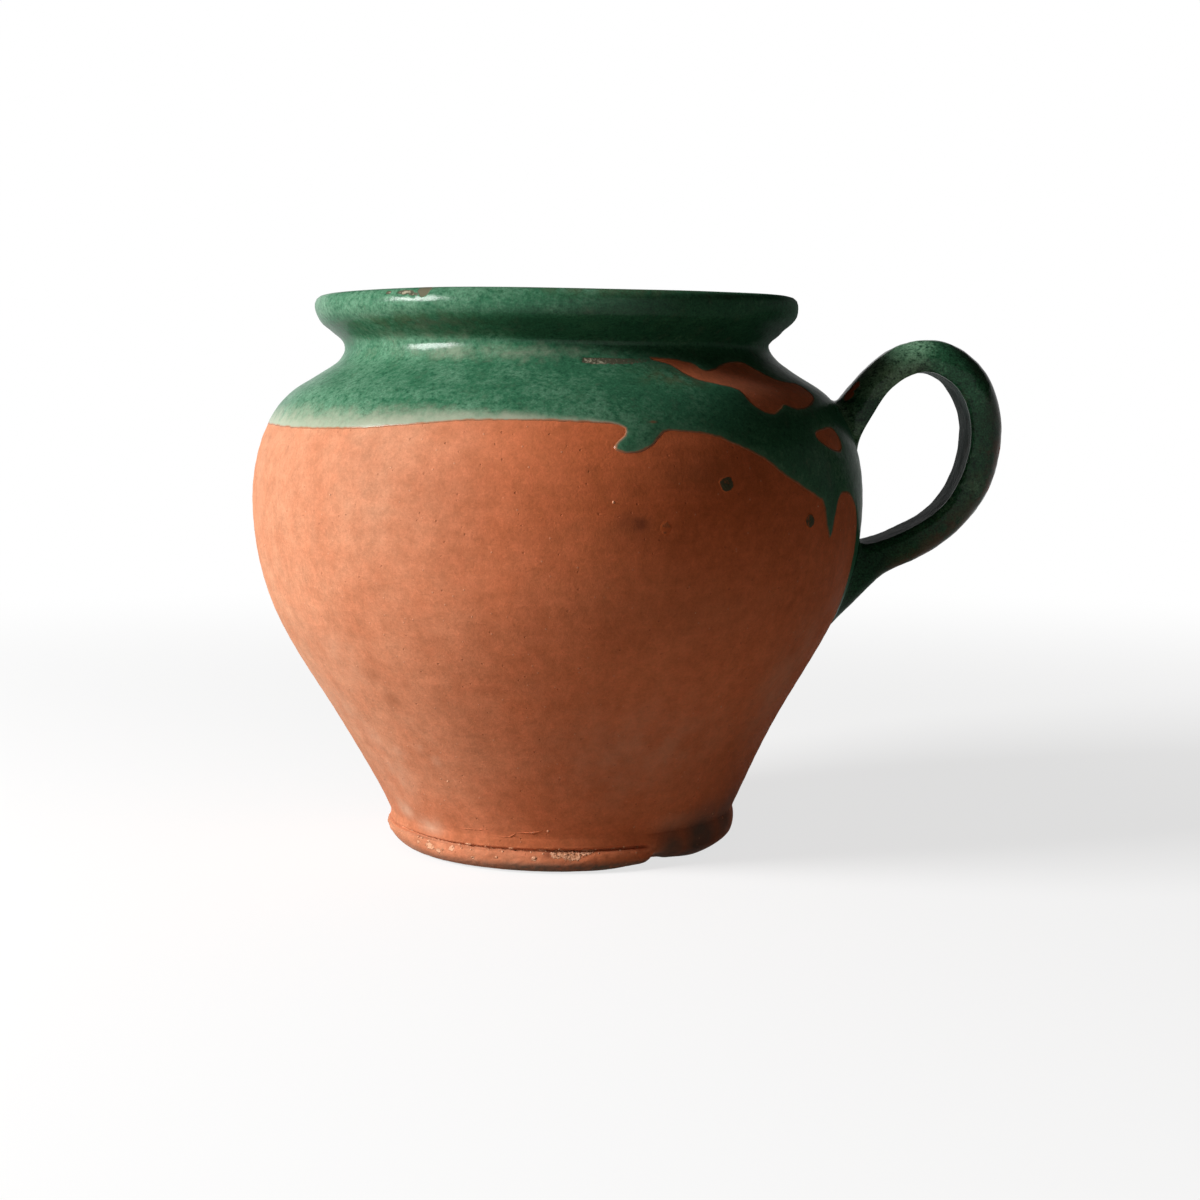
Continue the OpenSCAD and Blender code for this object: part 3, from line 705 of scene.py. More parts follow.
# Painted shade with some grime under the foot lip, which faces down, a painted shade line in the groove, and grime
# behind the break.
shade_under_lip = np.clip((3.6 - level) / 1.5, 0, 1) * np.interp(turned_at, [205, 240, 262, 330], [0.2, 0.55, 1.0, 1.0])
behind_break = spots(turned_at, level, [(309, 4.0, 9, 8.0, 0.95), (322, 6.0, 14, 10, 0.95), (338, 9, 12, 10, 0.7)])
groove_shade = ridge(turned_at, level, [(lip_starts + 14, 6.1), (lip_breaks, 6.1)], 0.4, foot_degree) * 0.2
marks(vessel, "grime_and_painted_shade", on_wall * np.clip(np.maximum(np.maximum(
    shade_under_lip * (0.9 + 0.5 * crumbly), behind_break), groove_shade), 0, 1))
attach(vessel, "root")
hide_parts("vessel")

# Handle: a strap pulled from wet clay, domed on its back and flat inside, bent into a loop that
# takes two fingers, and luted on below the neck and on the belly, where a thumb pressed it home.
strap_width, root_flare = 21.2, 2.4
dome_points, edge_points, face_points = 49, 4, 19
widest_rise, tucked_in = 0.28, 28
thumb_depth, thumb_at, thumb_side = 0.9, 0.90, 0.90 * dome_points
back_line = [((73.2, 117.9), 50), ((78.8, 123.8), 38), ((101.0, 138.0), 90), ((121.7, 113.5), 180),
             ((101.0, 79.4), 240), ((86.85, 71.7), 223), ((70.5, 57.5), 240)]
face_line = [((73.9, 102.5), 70), ((84.1, 116.4), 32), ((99.9, 129.6), 90), ((112.4, 113.5), 180),
             ((96.8, 87.1), 245), ((86.1, 82.9), 257), ((75.0, 81.6), 265)]
span_steps = (28, 30, 36, 36, 28, 36)


def pulled(stations):
    """One long edge of the strap, from root to root"""
    spans = []
    for (a, leaving), (b, arriving), steps in zip(stations[:-1], stations[1:], span_steps):
        a, b = np.array(a, float), np.array(b, float)
        reach = 0.37 * np.linalg.norm(b - a)
        spans.append(bend(a, a + along(leaving, reach), b - along(arriving, reach), b, steps))
    return strung(*spans)


def d_section(wide, thick):
    """Outline of the strap, as distances across it and out from its middle"""
    angles = np.radians(np.linspace(-tucked_in, 180 + tucked_in, dome_points))
    swing, lift = np.cos(angles), np.sin(angles)
    above = (1 - widest_rise) * np.abs(lift) ** 0.85
    below = widest_rise * lift / math.sin(math.radians(tucked_in))
    rise = thick * (np.where(lift > 0, above, below) + widest_rise - 0.5)
    dome = np.stack([wide / 2 * np.sign(swing) * np.abs(swing) ** 0.85, rise], axis=1)
    side, flat = -dome[-1, 0], dome[-1, 1]
    round_off = bend(dome[-1], dome[-1] + [0.35, -0.15], np.array([0.6 - side, flat - 0.15]),
                     np.array([1.2 - side, flat - 0.15]), edge_points)[1:]
    face = np.linspace([1.2 - side, flat - 0.15], [side - 1.2, flat - 0.15], face_points)[1:-1]
    return np.vstack([dome, round_off, face, round_off[::-1] * [-1, 1]])


def wall_radius(z):
    """Radius of the bare clay wall at a height, in millimetres"""
    whole = strung(smooth_foot, outer_wall)
    return np.interp(z, whole[:, 1], whole[:, 0])


def lumpy(spot):
    """Swells and hollows that the potter's fingers left along the strap"""
    return (0.35 * noise.noise(spot * 0.11) + 0.12 * noise.noise(spot * 0.32)
            + 0.09 * noise.noise(spot * 0.75))


def strap(coat, fillet, sink=0.0):
    """Rings of points of the strap, under a coat of this thickness, as [ring, point, xyz]"""
    back, face = pulled(back_line), pulled(face_line)
    rings = []
    for i, (outer, inner) in enumerate(zip(back, face)):
        across = outer - inner
        thick = np.linalg.norm(across)
        out = across / thick
        passed = i / (len(back) - 1)
        wide = strap_width + root_flare * abs(2 * passed - 1) ** 4
        middle = (outer + inner) / 2
        ring = []
        for k, (y, rise) in enumerate(d_section(wide + 2 * coat, thick + 2 * coat)):
            x, z = middle + out * rise
            away = np.array([out[0] * rise * 2 / thick, y / wide * 2, out[1] * rise * 2 / thick])
            away /= np.linalg.norm(away)
            clear = math.hypot(x, y) - wall_radius(z)
            spread = 0.0
            if clear < fillet:
                spread = fillet - math.sqrt(max(fillet ** 2 - (fillet - max(clear, 0.0)) ** 2, 0.0))
            thumb = thumb_depth * math.exp(-((passed - thumb_at) / 0.045) ** 2
                                           - ((k - thumb_side) / 4.0) ** 2)
            lump = min(lumpy(Vector((x, y, z))), 0.12) - 0.12
            if k < dome_points:
                over_dome = math.sin(math.pi * k / (dome_points - 1)) ** 2
                lump += over_dome * 0.45 * math.exp(-((passed - 0.385) / 0.035) ** 2)
                lump -= over_dome * 0.3 * math.exp(-((passed - 0.47) / 0.05) ** 2)
            spot = np.array([x, y, z]) + away * (lump - thumb - sink + spread * 0.8)
            if clear < fillet:
                reach = math.hypot(spot[0], spot[1])
                risen = reach - wall_radius(spot[2]) - clear
                spot[:2] *= 1 - max(risen, 0.0) * (1 - max(clear, 0.0) / fillet) / reach
            ring.append(spot)
        rings.append(ring)
    return np.array(rings)


clay_rings = strap(0.0, 2.6, 0.03)
ring_count, ring_points = clay_rings.shape[:2]
last_ring = (ring_count - 1) * ring_points
cut_ends = [tuple(reversed(range(ring_points))), tuple(last_ring + k for k in range(ring_points))]
handle = new_piece("handle", clay_rings.reshape(-1, 3) * mm, shell_faces(ring_count, ring_points, 0, True) + cut_ends,
                   terracotta)
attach(handle, "root")
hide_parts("handle")

# Collar glaze: copper green, poured over the upturned pot. It ends in a line above the belly, with
# a tongue and two runs, and left bare windows where the slip didn't take. It lies on the clay.
glaze_depth, edge_depth, edge_rise, coat_buried = 0.28, 0.035, 2.0, 0.16
degree = 1.2
run_down = np.concatenate([[0], np.cumsum(np.linalg.norm(np.diff(outer_wall[::-1], axis=0), axis=1))])


def down(z):
    """Distance along the outside, from the crest down to a height"""
    return np.interp(-np.asarray(z, float), -outer_wall[::-1, 1], run_down)


row_run = np.concatenate([run_down[::-1], -np.cumsum(np.linalg.norm(np.diff(inner_wall, axis=0), axis=1))])
row_number = np.arange(waist_row, row_count)


def on_clay(azimuth, run):
    """Places on the clay and their outward directions, for azimuths and distances down from the crest"""
    return on_rows(azimuth, np.interp(-np.asarray(run, float), -row_run, row_number))


def shiver(spot, k):
    """How much an edge strays from its line at a spot, slowly and quickly along it"""
    u, s = spot
    return noise.noise(Vector((u * 0.55, s * 0.55, k))) + 0.6 * noise.noise(Vector((u * 1.7, s * 1.7, k)))


def flowing(points, gap, closed):
    """A smooth line through given points, wavering as a liquid's edge does"""
    points = np.array(points, float)
    before, after = 2 * points[0] - points[1], 2 * points[-1] - points[-2]
    if closed:
        before, after = points[-1], points[:2]
    chain = np.vstack([before, points, after])
    line = []
    for a, b, c, d in zip(chain[:-3], chain[1:-2], chain[2:-1], chain[3:]):
        for t in np.linspace(0, 1, 9)[:-1]:
            line.append(0.5 * (2 * b + (c - a) * t + (2 * a - 5 * b + 4 * c - d) * t * t
                               + (3 * b - a - 3 * c + d) * t ** 3))
    line = spaced(np.array(line + [line[0] if closed else points[-1]]), gap)
    shake = np.array([[shiver(spot, 3.1), shiver(spot, 8.7)] for spot in line]) * 0.16
    shake[[0, -1]] = 0
    line = line + shake
    return line[:-1] if closed else line


def far_from(points, edges):
    """Distance from each point to the nearest of these edges"""
    start, way = edges[:, 0], edges[:, 1] - edges[:, 0]
    size = np.maximum((way ** 2).sum(1), 1e-12)
    best = np.empty(len(points))
    for low in range(0, len(points), 2000):
        p = points[low:low + 2000, None, :] - start[None]
        t = np.clip((p * way[None]).sum(2) / size[None], 0, 1)
        best[low:low + 2000] = np.sqrt(((p - t[:, :, None] * way[None]) ** 2).sum(2).min(1))
    return best


def within(points, loop):
    """Whether each point lies inside a closed outline"""
    inside_loop = np.zeros(len(points), bool)
    for (ax, ay), (bx, by) in zip(loop, np.roll(loop, -1, axis=0)):
        if ay != by:
            crossing = ((ay > points[:, 1]) != (by > points[:, 1])) & (
                points[:, 0] < (bx - ax) * (points[:, 1] - ay) / (by - ay) + ax)
            inside_loop ^= crossing
    return inside_loop


glaze_line = [
    (0, 59.5), (8, 60.4), (12, 64.5), (16, 79), (21, 91.5), (30, 99.5), (45, 106.5), (60, 110.5), (74, 109.6),
    (79, 103.5), (82, 101.5), (85, 104.5), (89, 110.4), (100, 112.4), (113, 113.2), (125, 114), (138, 115),
    (150, 115.5), (165, 114), (180, 114.7), (192, 115.5), (201.6, 115.3), (212, 115), (223, 114.9), (231, 115.1),
    (238, 115.6), (247.3, 116.6), (257.5, 117.4), (268, 117.3), (275, 117.0), (280.6, 116.5), (282.9, 115.6),
    (282.6, 114.0), (281.3, 112.4), (280.6, 110.6), (282.5, 109.7), (285.1, 109.9), (287.3, 111.3),
    (289, 113.6), (290.4, 114.9), (292.9, 114.7), (298.8, 113.7), (304.3, 110.9), (309.2, 107.9),
    (312.7, 104.6), (317.4, 101.1), (322.5, 98.0), (324.6, 96.6), (325.5, 94.4), (326.6, 90.2), (328, 86.9),
    (329.2, 88.9), (330.5, 94.5), (332.2, 97.6), (335, 97.9), (338.4, 96.7), (341.7, 93.6), (343.5, 89.5),
    (344.5, 84), (344.6, 78), (345.4, 71), (347.6, 64.2), (353, 60.4), (360, 59.5)]
bare_windows = [
    [(294.0, 132.8), (298.8, 132.5), (304.2, 131.5), (305.5, 129.9),
     (308.2, 129.6), (314.3, 131.2), (319, 131.8), (323.2, 131.5), (325.2, 129.6), (328.8, 126.9),
     (335.6, 126.1), (336.6, 124.2), (335.3, 122.5), (331.5, 121.2), (328.2, 120.3), (323.7, 120.0),
     (320.4, 121.1), (318.2, 119.9), (315.5, 118.9), (312.9, 119.4), (311, 121.7), (310.2, 124.9),
     (306.5, 126.2), (302.5, 127.4), (300.2, 128.9), (298.6, 131.0), (296.0, 132.0)],
    [(326.2, 113.5), (329.6, 114.3), (334.3, 114.6), (336.6, 112.4), (336.2, 109.6), (333.1, 109.0),
     (329.1, 110.4), (326.7, 112.0)]]
low_edge = flowing([(a * degree, down(z)) for a, z in glaze_line], 1.0, False)
seam_foot = down(glaze_line[0][1])
low_edge[[0, -1], 1] = seam_foot
windows = [flowing([(a * degree, down(z)) for a, z in loop], 0.9, True) for loop in bare_windows]
full_turn = 360 * degree
top_run, top_taper = -2.2, 1.8
top_edge = np.stack([np.linspace(0, full_turn, 271), np.full(271, top_run)], axis=1)
side_edge = np.stack([np.zeros(58), np.linspace(top_run, seam_foot, 60)[1:-1]], axis=1)
chains = [(low_edge, False), (top_edge, False), (side_edge, False), (side_edge + [full_turn, 0], False)]
chains += [(loop, True) for loop in windows]
outline = np.vstack([low_edge, side_edge[::-1] + [full_turn, 0], top_edge[::-1], side_edge])
low_ends = np.stack([low_edge[:-1], low_edge[1:]], axis=1)
near_start, near_end = low_ends[:, 0, 0] < 12, low_ends[:, 0, 0] > full_turn - 12
low_ends = np.vstack([low_ends, low_ends[near_start] + [full_turn, 0], low_ends[near_end] - [full_turn, 0]])
glaze_ends = np.vstack([low_ends] + [np.stack([loop, np.roll(loop, -1, axis=0)], axis=1) for loop in windows])


def glazed(points):
    """Whether each flattened point lies under the poured glaze"""
    return within(points, outline) & ~np.logical_or.reduce([within(points, loop) for loop in windows])


edge_rows, edge_row_of = [], []
for line, closed in [(low_edge, False)] + [(loop, True) for loop in windows]:
    way = np.roll(line, -1, axis=0) - np.roll(line, 1, axis=0) if closed else np.gradient(line, axis=0)
    way /= np.linalg.norm(way, axis=1)[:, None]
    sideways = np.stack([-way[:, 1], way[:, 0]], axis=1)
    for offset in (0.30, 0.70, 1.25, 2.0, -0.30, -0.70, -1.25, -2.0):
        edge_rows.append(line + offset * sideways)
        edge_row_of.append(np.full(len(line), abs(offset)))
near_edge, near_offset = np.vstack(edge_rows), np.concatenate(edge_row_of)
near_edge = near_edge[(far_from(near_edge, glaze_ends) > near_offset * 0.86) & glazed(near_edge)
                      & (near_edge[:, 0] > 0.8) & (near_edge[:, 0] < full_turn - 0.8)]
scar_from, scar_to, scar_top, scar_foot = 276.3, 295.0, down(132.7), down(131.0)
fine_points = []
for middle, line, wide, tall, gap in (((scar_from + scar_to) / 2, (scar_top + scar_foot) / 2, 12.4, 2.0, 0.3),
                                      (288.1, down(116.9), 1.6, 0.9, 0.35), (241.3, 3.0, 3.2, 2.6, 0.45),
                                      (234.0, 4.4, 5.4, 1.6, 0.4), (222.2, 0.2, 3.2, 0.8, 0.4)):
    across, lengthwise = np.meshgrid(np.arange(-wide, wide, gap), np.arange(-tall, tall, gap * 0.9))
    fine_points.append(np.stack([across.ravel() + middle * degree, lengthwise.ravel() + line], axis=1))
fine_points = np.vstack(fine_points)
across, lengthwise = np.meshgrid(np.arange(1.2, full_turn - 0.8, 1.75), np.arange(top_run + 0.8, 100, 1.0))
across = across + 0.875 * (np.arange(across.shape[0]) % 2)[:, None]
field = np.stack([across.ravel(), lengthwise.ravel()], axis=1)
field = np.vstack([field[field[:, 0] < full_turn - 0.7], fine_points])
field = field[glazed(field)]
field = field[far_from(field, glaze_ends) > 0.25]
coarse = (far_from(field, glaze_ends) < 2.7) & (np.arange(len(field)) < len(field) - len(fine_points))
field = field[~coarse]
knots, ties, tied = [], [], 0
for line, closed in chains:
    knots.append(line)
    count = len(line)
    ties += [(tied + i, tied + (i + 1) % count) for i in range(count if closed else count - 1)]
    tied += count
first_top = len(low_edge)
first_left = first_top + len(top_edge)
first_right = first_left + len(side_edge)
ties += [(first_top, first_left), (first_right - 1, 0), (first_left - 1, first_right),
         (first_right + len(side_edge) - 1, first_top - 1)]
flat = np.vstack(knots + [near_edge, field])
cut = geometry.delaunay_2d_cdt([Vector(p) for p in flat], ties, [], 0, 1e-5, False)
flat = np.array([tuple(v) for v in cut[0]])
triangles = np.array([f for f in cut[2] if len(f) == 3])
triangles = triangles[glazed(flat[triangles].mean(axis=1))]


def coat_piece(name, azimuth, run, thickness, triangles, material, marks_for):
    """A closed skin on the clay: its top stands up by the thickness, its underside is just buried"""
    used = np.unique(triangles)
    renumber = np.zeros(len(azimuth), int)
    renumber[used] = np.arange(len(used))
    triangles, azimuth, run, thickness = renumber[triangles], azimuth[used], run[used], thickness[used]
    base, out = on_clay(azimuth, run)
    a, b, c = (base[triangles[:, k]] for k in range(3))
    turned_in = ((np.cross(b - a, c - a) * out[triangles[:, 0]]).sum(1) < 0)
    triangles[turned_in] = triangles[turned_in][:, ::-1]
    top, bottom = base + out * (thickness * mm)[:, None], base - out * coat_buried * mm
    edges = np.vstack([triangles[:, [0, 1]], triangles[:, [1, 2]], triangles[:, [2, 0]]])
    known = {tuple(e) for e in edges}
    at_seam = azimuth == 0
    rim = [e for e in known if (e[1], e[0]) not in known and not (at_seam[e[0]] and at_seam[e[1]])]
    count = len(top)
    faces = [tuple(t) for t in triangles] + [tuple(t[::-1] + count) for t in triangles]
    faces += [(b, a, a + count, b + count) for a, b in sorted(rim)]
    piece = new_piece(name, np.vstack([top, bottom]), faces, material)
    for label, values in marks_for.items():
        marks(piece, label, np.concatenate([values[used], values[used]]))
    shape = bmesh.new()
    shape.from_mesh(piece.data)
    shape_ops.remove_doubles(shape, verts=shape.verts, dist=0.000002)
    shape.to_mesh(piece.data)
    shape.free()
    return piece


def glaze_look(tree, coords, thin, usual, deep, peel, spotted, shine):
    """Colour, roughness, relief and gloss coat of copper green glaze, which pales and browns where it is thin; some of
    its marks also lay on painted light, shade, sheen and reflection
    """
    clay, clay_relief = clay_look(tree, coords)
    drift = speckle(tree, coords, 0.016, 3.0, 0.55)
    flow = speckle(tree, coords, 0.0042, 4.0, 0.62)
    fleck = speckle(tree, coords, 0.00115, 2.5, 0.55, (0.85, 0.85, 1.15))
    pepper = speckle(tree, coords, 0.00048, 1.0, 0.5)
    pooled = total(tree, product(tree, mark(tree, "pool"), 0.5), product(tree, less(tree, drift, 0.5), 0.8),
                   product(tree, less(tree, flow, 0.5), 0.55), product(tree, less(tree, fleck, 0.5), 0.6))
    colour = shades(tree, total(tree, pooled, 0.2), [(0.0, thin), (0.42, usual), (1.0, deep)])
    colour = mix(tree, level_of(tree, fleck, 0.57, 0.68, 0.0, 0.40 * spotted), colour, deep)
    colour = mix(tree, 1.0, colour, level_of(tree, pepper, 0.28, 0.72, 1 - 0.24 * spotted, 1 + 0.18 * spotted),
                 "MULTIPLY")
    brim = mark(tree, "brim")
    wavering = product(tree, less(tree, flow, 0.5), 1.3)
    colour = mix(tree, product(tree, eased(tree, total(tree, brim, wavering), 2.6, 0.3), 0.25), colour, thin)
    # Milky band, partly thin milky glaze and partly painted sheen: the lamp's reflection along the lower edge and on
    # the neck.
    milk_and_painted_sheen = eased(tree, total(tree, mark(tree, "milk_and_painted_sheen"), product(tree, less(tree, flow, 0.5), 1.3)), 0.05, 1.15)
    colour = mix(tree, product(tree, milk_and_painted_sheen, 0.72), colour, (0.390, 0.400, 0.305))
    # Painted reflection: the handle's inner face gets a grey blue-green that stands in for what its gloss reflects.
    colour = mix(tree, product(tree, mark(tree, "slate_painted_reflection"), 0.85), colour, (0.018, 0.046, 0.041))
    soaked = eased(tree, total(tree, brim, product(tree, less(tree, flow, 0.5), 0.9)), 0.70, 0.05)
    colour = mix(tree, product(tree, soaked, 0.85), colour, mix(tree, 0.32, clay, deep))
    browned = product(tree, mark(tree, "patina"), eased(tree, flow, 0.36, 0.60))
    colour = mix(tree, browned, colour, (0.155, 0.072, 0.036))
    worn = eased(tree, total(tree, mark(tree, "worn"), product(tree, less(tree, flow, 0.5), 0.9)), 0.38, 0.56)
    colour = mix(tree, worn, colour, mix(tree, mark(tree, "greyed"), clay, (0.115, 0.108, 0.072)))
    streaks = speckle(tree, coords, 0.0008, 3.0, 0.65, (1.0, 1.0, 0.20))
    rough_patch = eased(tree, total(tree, mark(tree, "scar"), product(tree, less(tree, streaks, 0.5), 0.8)), 0.25, 0.60)
    pale_teeth = eased(tree, total(tree, streaks, product(tree, mark(tree, "scar"), 0.34)), 0.76, 0.98)
    colour = mix(tree, product(tree, rough_patch, 0.85), colour, (0.085, 0.066, 0.046))
    colour = mix(tree, product(tree, rough_patch, pale_teeth), colour, (0.330, 0.300, 0.215))
    # Near-black glaze pits: painted shade inside the pits.
    colour = mix(tree, mark(tree, "pit_with_painted_shade"), colour, (0.010, 0.012, 0.011))
    gloss = total(tree, level_of(tree, flow, 0.3, 0.7, shine, shine + 0.10), product(tree, browned, 0.16))
    for name_of_dull, roughness in (("dull", 0.62), ("scar", 0.7)):
        gloss = calc(tree, "MAXIMUM", gloss, product(tree, mark(tree, name_of_dull), roughness))
    gloss = calc(tree, "MAXIMUM", gloss, product(tree, worn, 0.7))
    skin = speckle(tree, coords, 0.0026, 2.0, 0.5)
    relief = total(tree, product(tree, skin, peel), product(tree, fleck, 0.25), product(tree, pepper, 0.10),
                   product(tree, worn, -0.9))
    glassy = product(tree, mark(tree, "shone"), less(tree, 1.0, worn),
                     less(tree, 1.0, product(tree, rough_patch, 0.8)))
    return colour, gloss, relief, glassy


def glaze_material(name, thin, usual, deep, peel=0.7, spotted=1.0, shine=0.25, mirroring=0.30):
    material = bpy.data.materials.new(name)
    material.use_nodes = True
    tree = material.node_tree
    shader = tree.nodes["Principled BSDF"]
    colour, gloss, relief, glassy = glaze_look(tree, add(tree, "ShaderNodeTexCoord").outputs["Object"],
                                               thin, usual, deep, peel, spotted, shine)
    tree.links.new(colour, shader.inputs["Base Color"])
    tree.links.new(gloss, shader.inputs["Roughness"])
    bump = add(tree, "ShaderNodeBump", {"Height": relief, "Strength": 1.0, "Distance": 0.00010})
    tree.links.new(bump.outputs[0], shader.inputs["Normal"])
    tree.links.new(bump.outputs[0], shader.inputs["Coat Normal"])
    tree.links.new(product(tree, glassy, mirroring), shader.inputs["Coat Weight"])
    shader.inputs["Coat Roughness"].default_value = 0.85 * shine
    shader.inputs["Coat IOR"].default_value = 1.5
    shader.inputs["IOR"].default_value = 1.03
    return material


collar_green = glaze_material("poured copper green glaze", (0.120, 0.250, 0.160), (0.032, 0.128, 0.066),
                              (0.010, 0.056, 0.030))
edge_far = far_from(flat, glaze_ends)
azimuth, run = flat[:, 0] / degree, flat[:, 1]
azimuth[np.abs(azimuth - 360) < 1e-6] = 0
teeth = np.array([noise.noise(Vector((u * 0.9, 0.0, 4.0))) for u in flat[:, 0]])
scar_low = scar_foot - np.interp(azimuth, [scar_from, 279, 288, scar_to], [0.7, 0.2, 0.1, 1.6]) + 0.6 * teeth
scar = np.clip((run - scar_top) / 0.3 + 0.5, 0, 1) * np.clip((scar_low - run) / 0.5 + 0.5, 0, 1)
scar *= np.interp(azimuth, [scar_from, scar_from + 1.2, 281.5, 284.5, scar_to], [0, 1, 0.95, 0.62, 0.30])
scar *= azimuth < scar_to + 1
scar = np.maximum(scar, 1.3 * spots(azimuth, run, [(235.3, 4.6, 2.8, 0.8, 1.0), (230.4, 4.6, 1.0, 0.6, 0.9),
                                                  (237.8, 5.2, 1.8, 0.5, 0.7)]))
thickness = edge_depth + (glaze_depth - edge_depth) * (1 - np.exp(-edge_far / edge_rise))
thickness = thickness * (1 - 0.75 * np.clip(scar, 0, 1)) * np.clip((run - top_run) / top_taper, 0.15, 1)
lows = np.interp(run, run_down, outer_wall[::-1, 1])
# Deeper, darker glaze under the roll: partly glaze pooled in the crease, partly painted shade under the roll.
pooled_and_shaded_fold = np.exp(-((lows - 141.2) / 2.7) ** 2)
# The milky band is wide on the lit left side and gone on the right: partly thin milky glaze, partly painted sheen of
# the lamp.
painted_sheen_wide = np.interp(azimuth, [0, 60, 150, 200, 215, 245, 256, 275, 285, 300, 360],
                      [0.3, 0.6, 0.8, 7.0, 8.6, 6.6, 4.2, 2.0, 0.05, 0.05, 0.3])
neck_painted_sheen = 0.46 * np.exp(-((lows - 134.0) / 2.6) ** 2) * np.interp(
    azimuth, [0, 150, 200, 222, 238, 262, 280, 296, 360], [0.2, 0.2, 0.12, 0.45, 0.9, 0.95, 0.5, 0.0, 0.1])
neck_painted_sheen = np.maximum(neck_painted_sheen, 0.28 * np.exp(-((lows - 138.7) / 2.2) ** 2) * np.interp(
    azimuth, [205, 222, 252, 266], [0.3, 1, 1, 0]))
# Painted light: the glaze is made thinner and paler on the lit left side, and deeper and darker on the shaded right.
painted_lit_side = np.interp(azimuth, [0, 100, 180, 215, 240, 262, 285, 310, 360],
                      [-0.1, 0.1, 0.32, 0.4, 0.25, 0.02, -0.08, -0.2, -0.2])
dull_side = np.interp(azimuth, [0, 20, 60, 150, 262, 300, 335, 360], [1.0, 0.8, 0.5, 0.1, 0.0, 0.5, 0.95, 1.0])
dull_side *= np.interp(lows, [96, 108, 131, 137], [0.5, 0.0, 0.0, 1.0])
left_neck = np.exp(-((lows - 136.5) / 4.0) ** 2) * np.interp(azimuth, [150, 190, 212, 230], [0, 1, 1, 0])
collar_marks = {
    "brim": np.clip(edge_far, 0, 8),
    "milk_and_painted_sheen": np.maximum(np.clip(1.1 - far_from(flat, low_ends) / painted_sheen_wide, 0, 1), neck_painted_sheen),
    "dull": dull_side,
    "shone": np.interp(azimuth, [0, 60, 120, 180, 285, 300, 360], [0.05, 0.4, 0.8, 1, 1, 0.15, 0.05]),
    "scar": scar,
    "pool": np.clip(0.42 + 0.42 * pooled_and_shaded_fold + 0.5 * left_neck - 0.25 * np.exp(-(run / 3.5) ** 2) - painted_lit_side, 0, 1),
    "greyed": np.interp(azimuth, [200, 215, 250, 265], [0, 1, 1, 0]),
    "worn": spots(azimuth, run, [(222.2, 0.2, 2.6, 0.35, 1.0), (240.6, 3.9, 2.0, 2.3, 1.3), (60, 0.6, 5, 1.2, 0.9),
                                 (128, 0.0, 9, 1.0, 0.8),
                                 (310, -0.4, 5, 0.9, 0.6)]),
    "patina": spots(azimuth, run, [(286, 3.5, 34, 2.5, 0.2), (241.4, 2.2, 2.2, 2.0, 0.8), (236, 12.2, 26, 3.2, 0.20),
                                   (298, 33, 12, 6, 0.30), (100, 30, 20, 8, 0.4), (168, 12, 20, 5, 0.4),
                                   (288.1, float(down(116.9)), 0.8, 0.4, 1.0)])}
collar = coat_piece("collar_glaze", azimuth, run, thickness, triangles, collar_green, collar_marks)
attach(collar, "root")
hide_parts("collar_glaze")

# Lining glaze: the same glaze, swilled round the inside before the outside was poured. It goes
# from just over the crest down to a pool on the floor, where it is thickest and darkest.
lining_green = glaze_material("lining of copper green glaze", (0.120, 0.245, 0.150), (0.032, 0.125, 0.066),
                              (0.010, 0.056, 0.030), 0.9)
lining_steps, lining_depth, lining_edge = 220, 0.32, 0.05
lining_runs = np.concatenate([np.array([1.2, 0.5, -0.1, -0.7, -1.3, -2.0, -2.8]),
                              np.linspace(-3.8, row_run[-1], 78)[:-1]])
all_turns, all_runs = np.meshgrid(np.arange(lining_steps) * 360 / lining_steps, lining_runs)
all_turns, all_runs = all_turns.ravel(), all_runs.ravel()
lining_base, lining_out = on_clay(all_turns, all_runs)
lining_rise = np.clip(lining_edge + 0.27 * (lining_runs[0] - all_runs) / 2.6, lining_edge, lining_depth)
middle_place = on_clay(np.zeros(1), row_run[-1:])[0]
tops = np.vstack([lining_base + lining_out * lining_rise[:, None] * mm, middle_place + [0, 0, lining_depth * mm]])
bottoms = np.vstack([lining_base - lining_out * coat_buried * mm, middle_place - [0, 0, coat_buried * mm]])
count, lines = len(tops), len(lining_runs)


def at(line, k):
    return line * lining_steps + k % lining_steps


skin = [(at(i, k), at(i, k + 1), at(i + 1, k + 1), at(i + 1, k)) for i in range(lines - 1)
        for k in range(lining_steps)]
skin += [(at(lines - 1, k), at(lines - 1, k + 1), count - 1) for k in range(lining_steps)]
lining_faces = skin + [tuple(v + count for v in reversed(f)) for f in skin]
lining_faces += [(at(0, k + 1), at(0, k), at(0, k) + count, at(0, k + 1) + count) for k in range(lining_steps)]
lining = new_piece("lining_glaze", np.vstack([tops, bottoms]), lining_faces, lining_green)
pool = np.clip(0.3 + 0.5 * (np.append(-all_runs, -row_run[-1]) - 100) / 80, 0.25, 0.9)
worn = np.append(spots(all_turns, all_runs, [(128, 0.0, 9, 1.0, 0.8), (310, -0.4, 5, 0.9, 0.6),
                                             (222.2, 0.2, 2.6, 0.35, 1.0), (20, -60, 5, 4, 0.6)]), 0)
for label, values in (("brim", np.full(count, 8.0)), ("shone", np.ones(count)), ("pool", pool), ("worn", worn)):
    marks(lining, label, np.concatenate([values, values]))
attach(lining, "root")
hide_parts("lining_glaze")

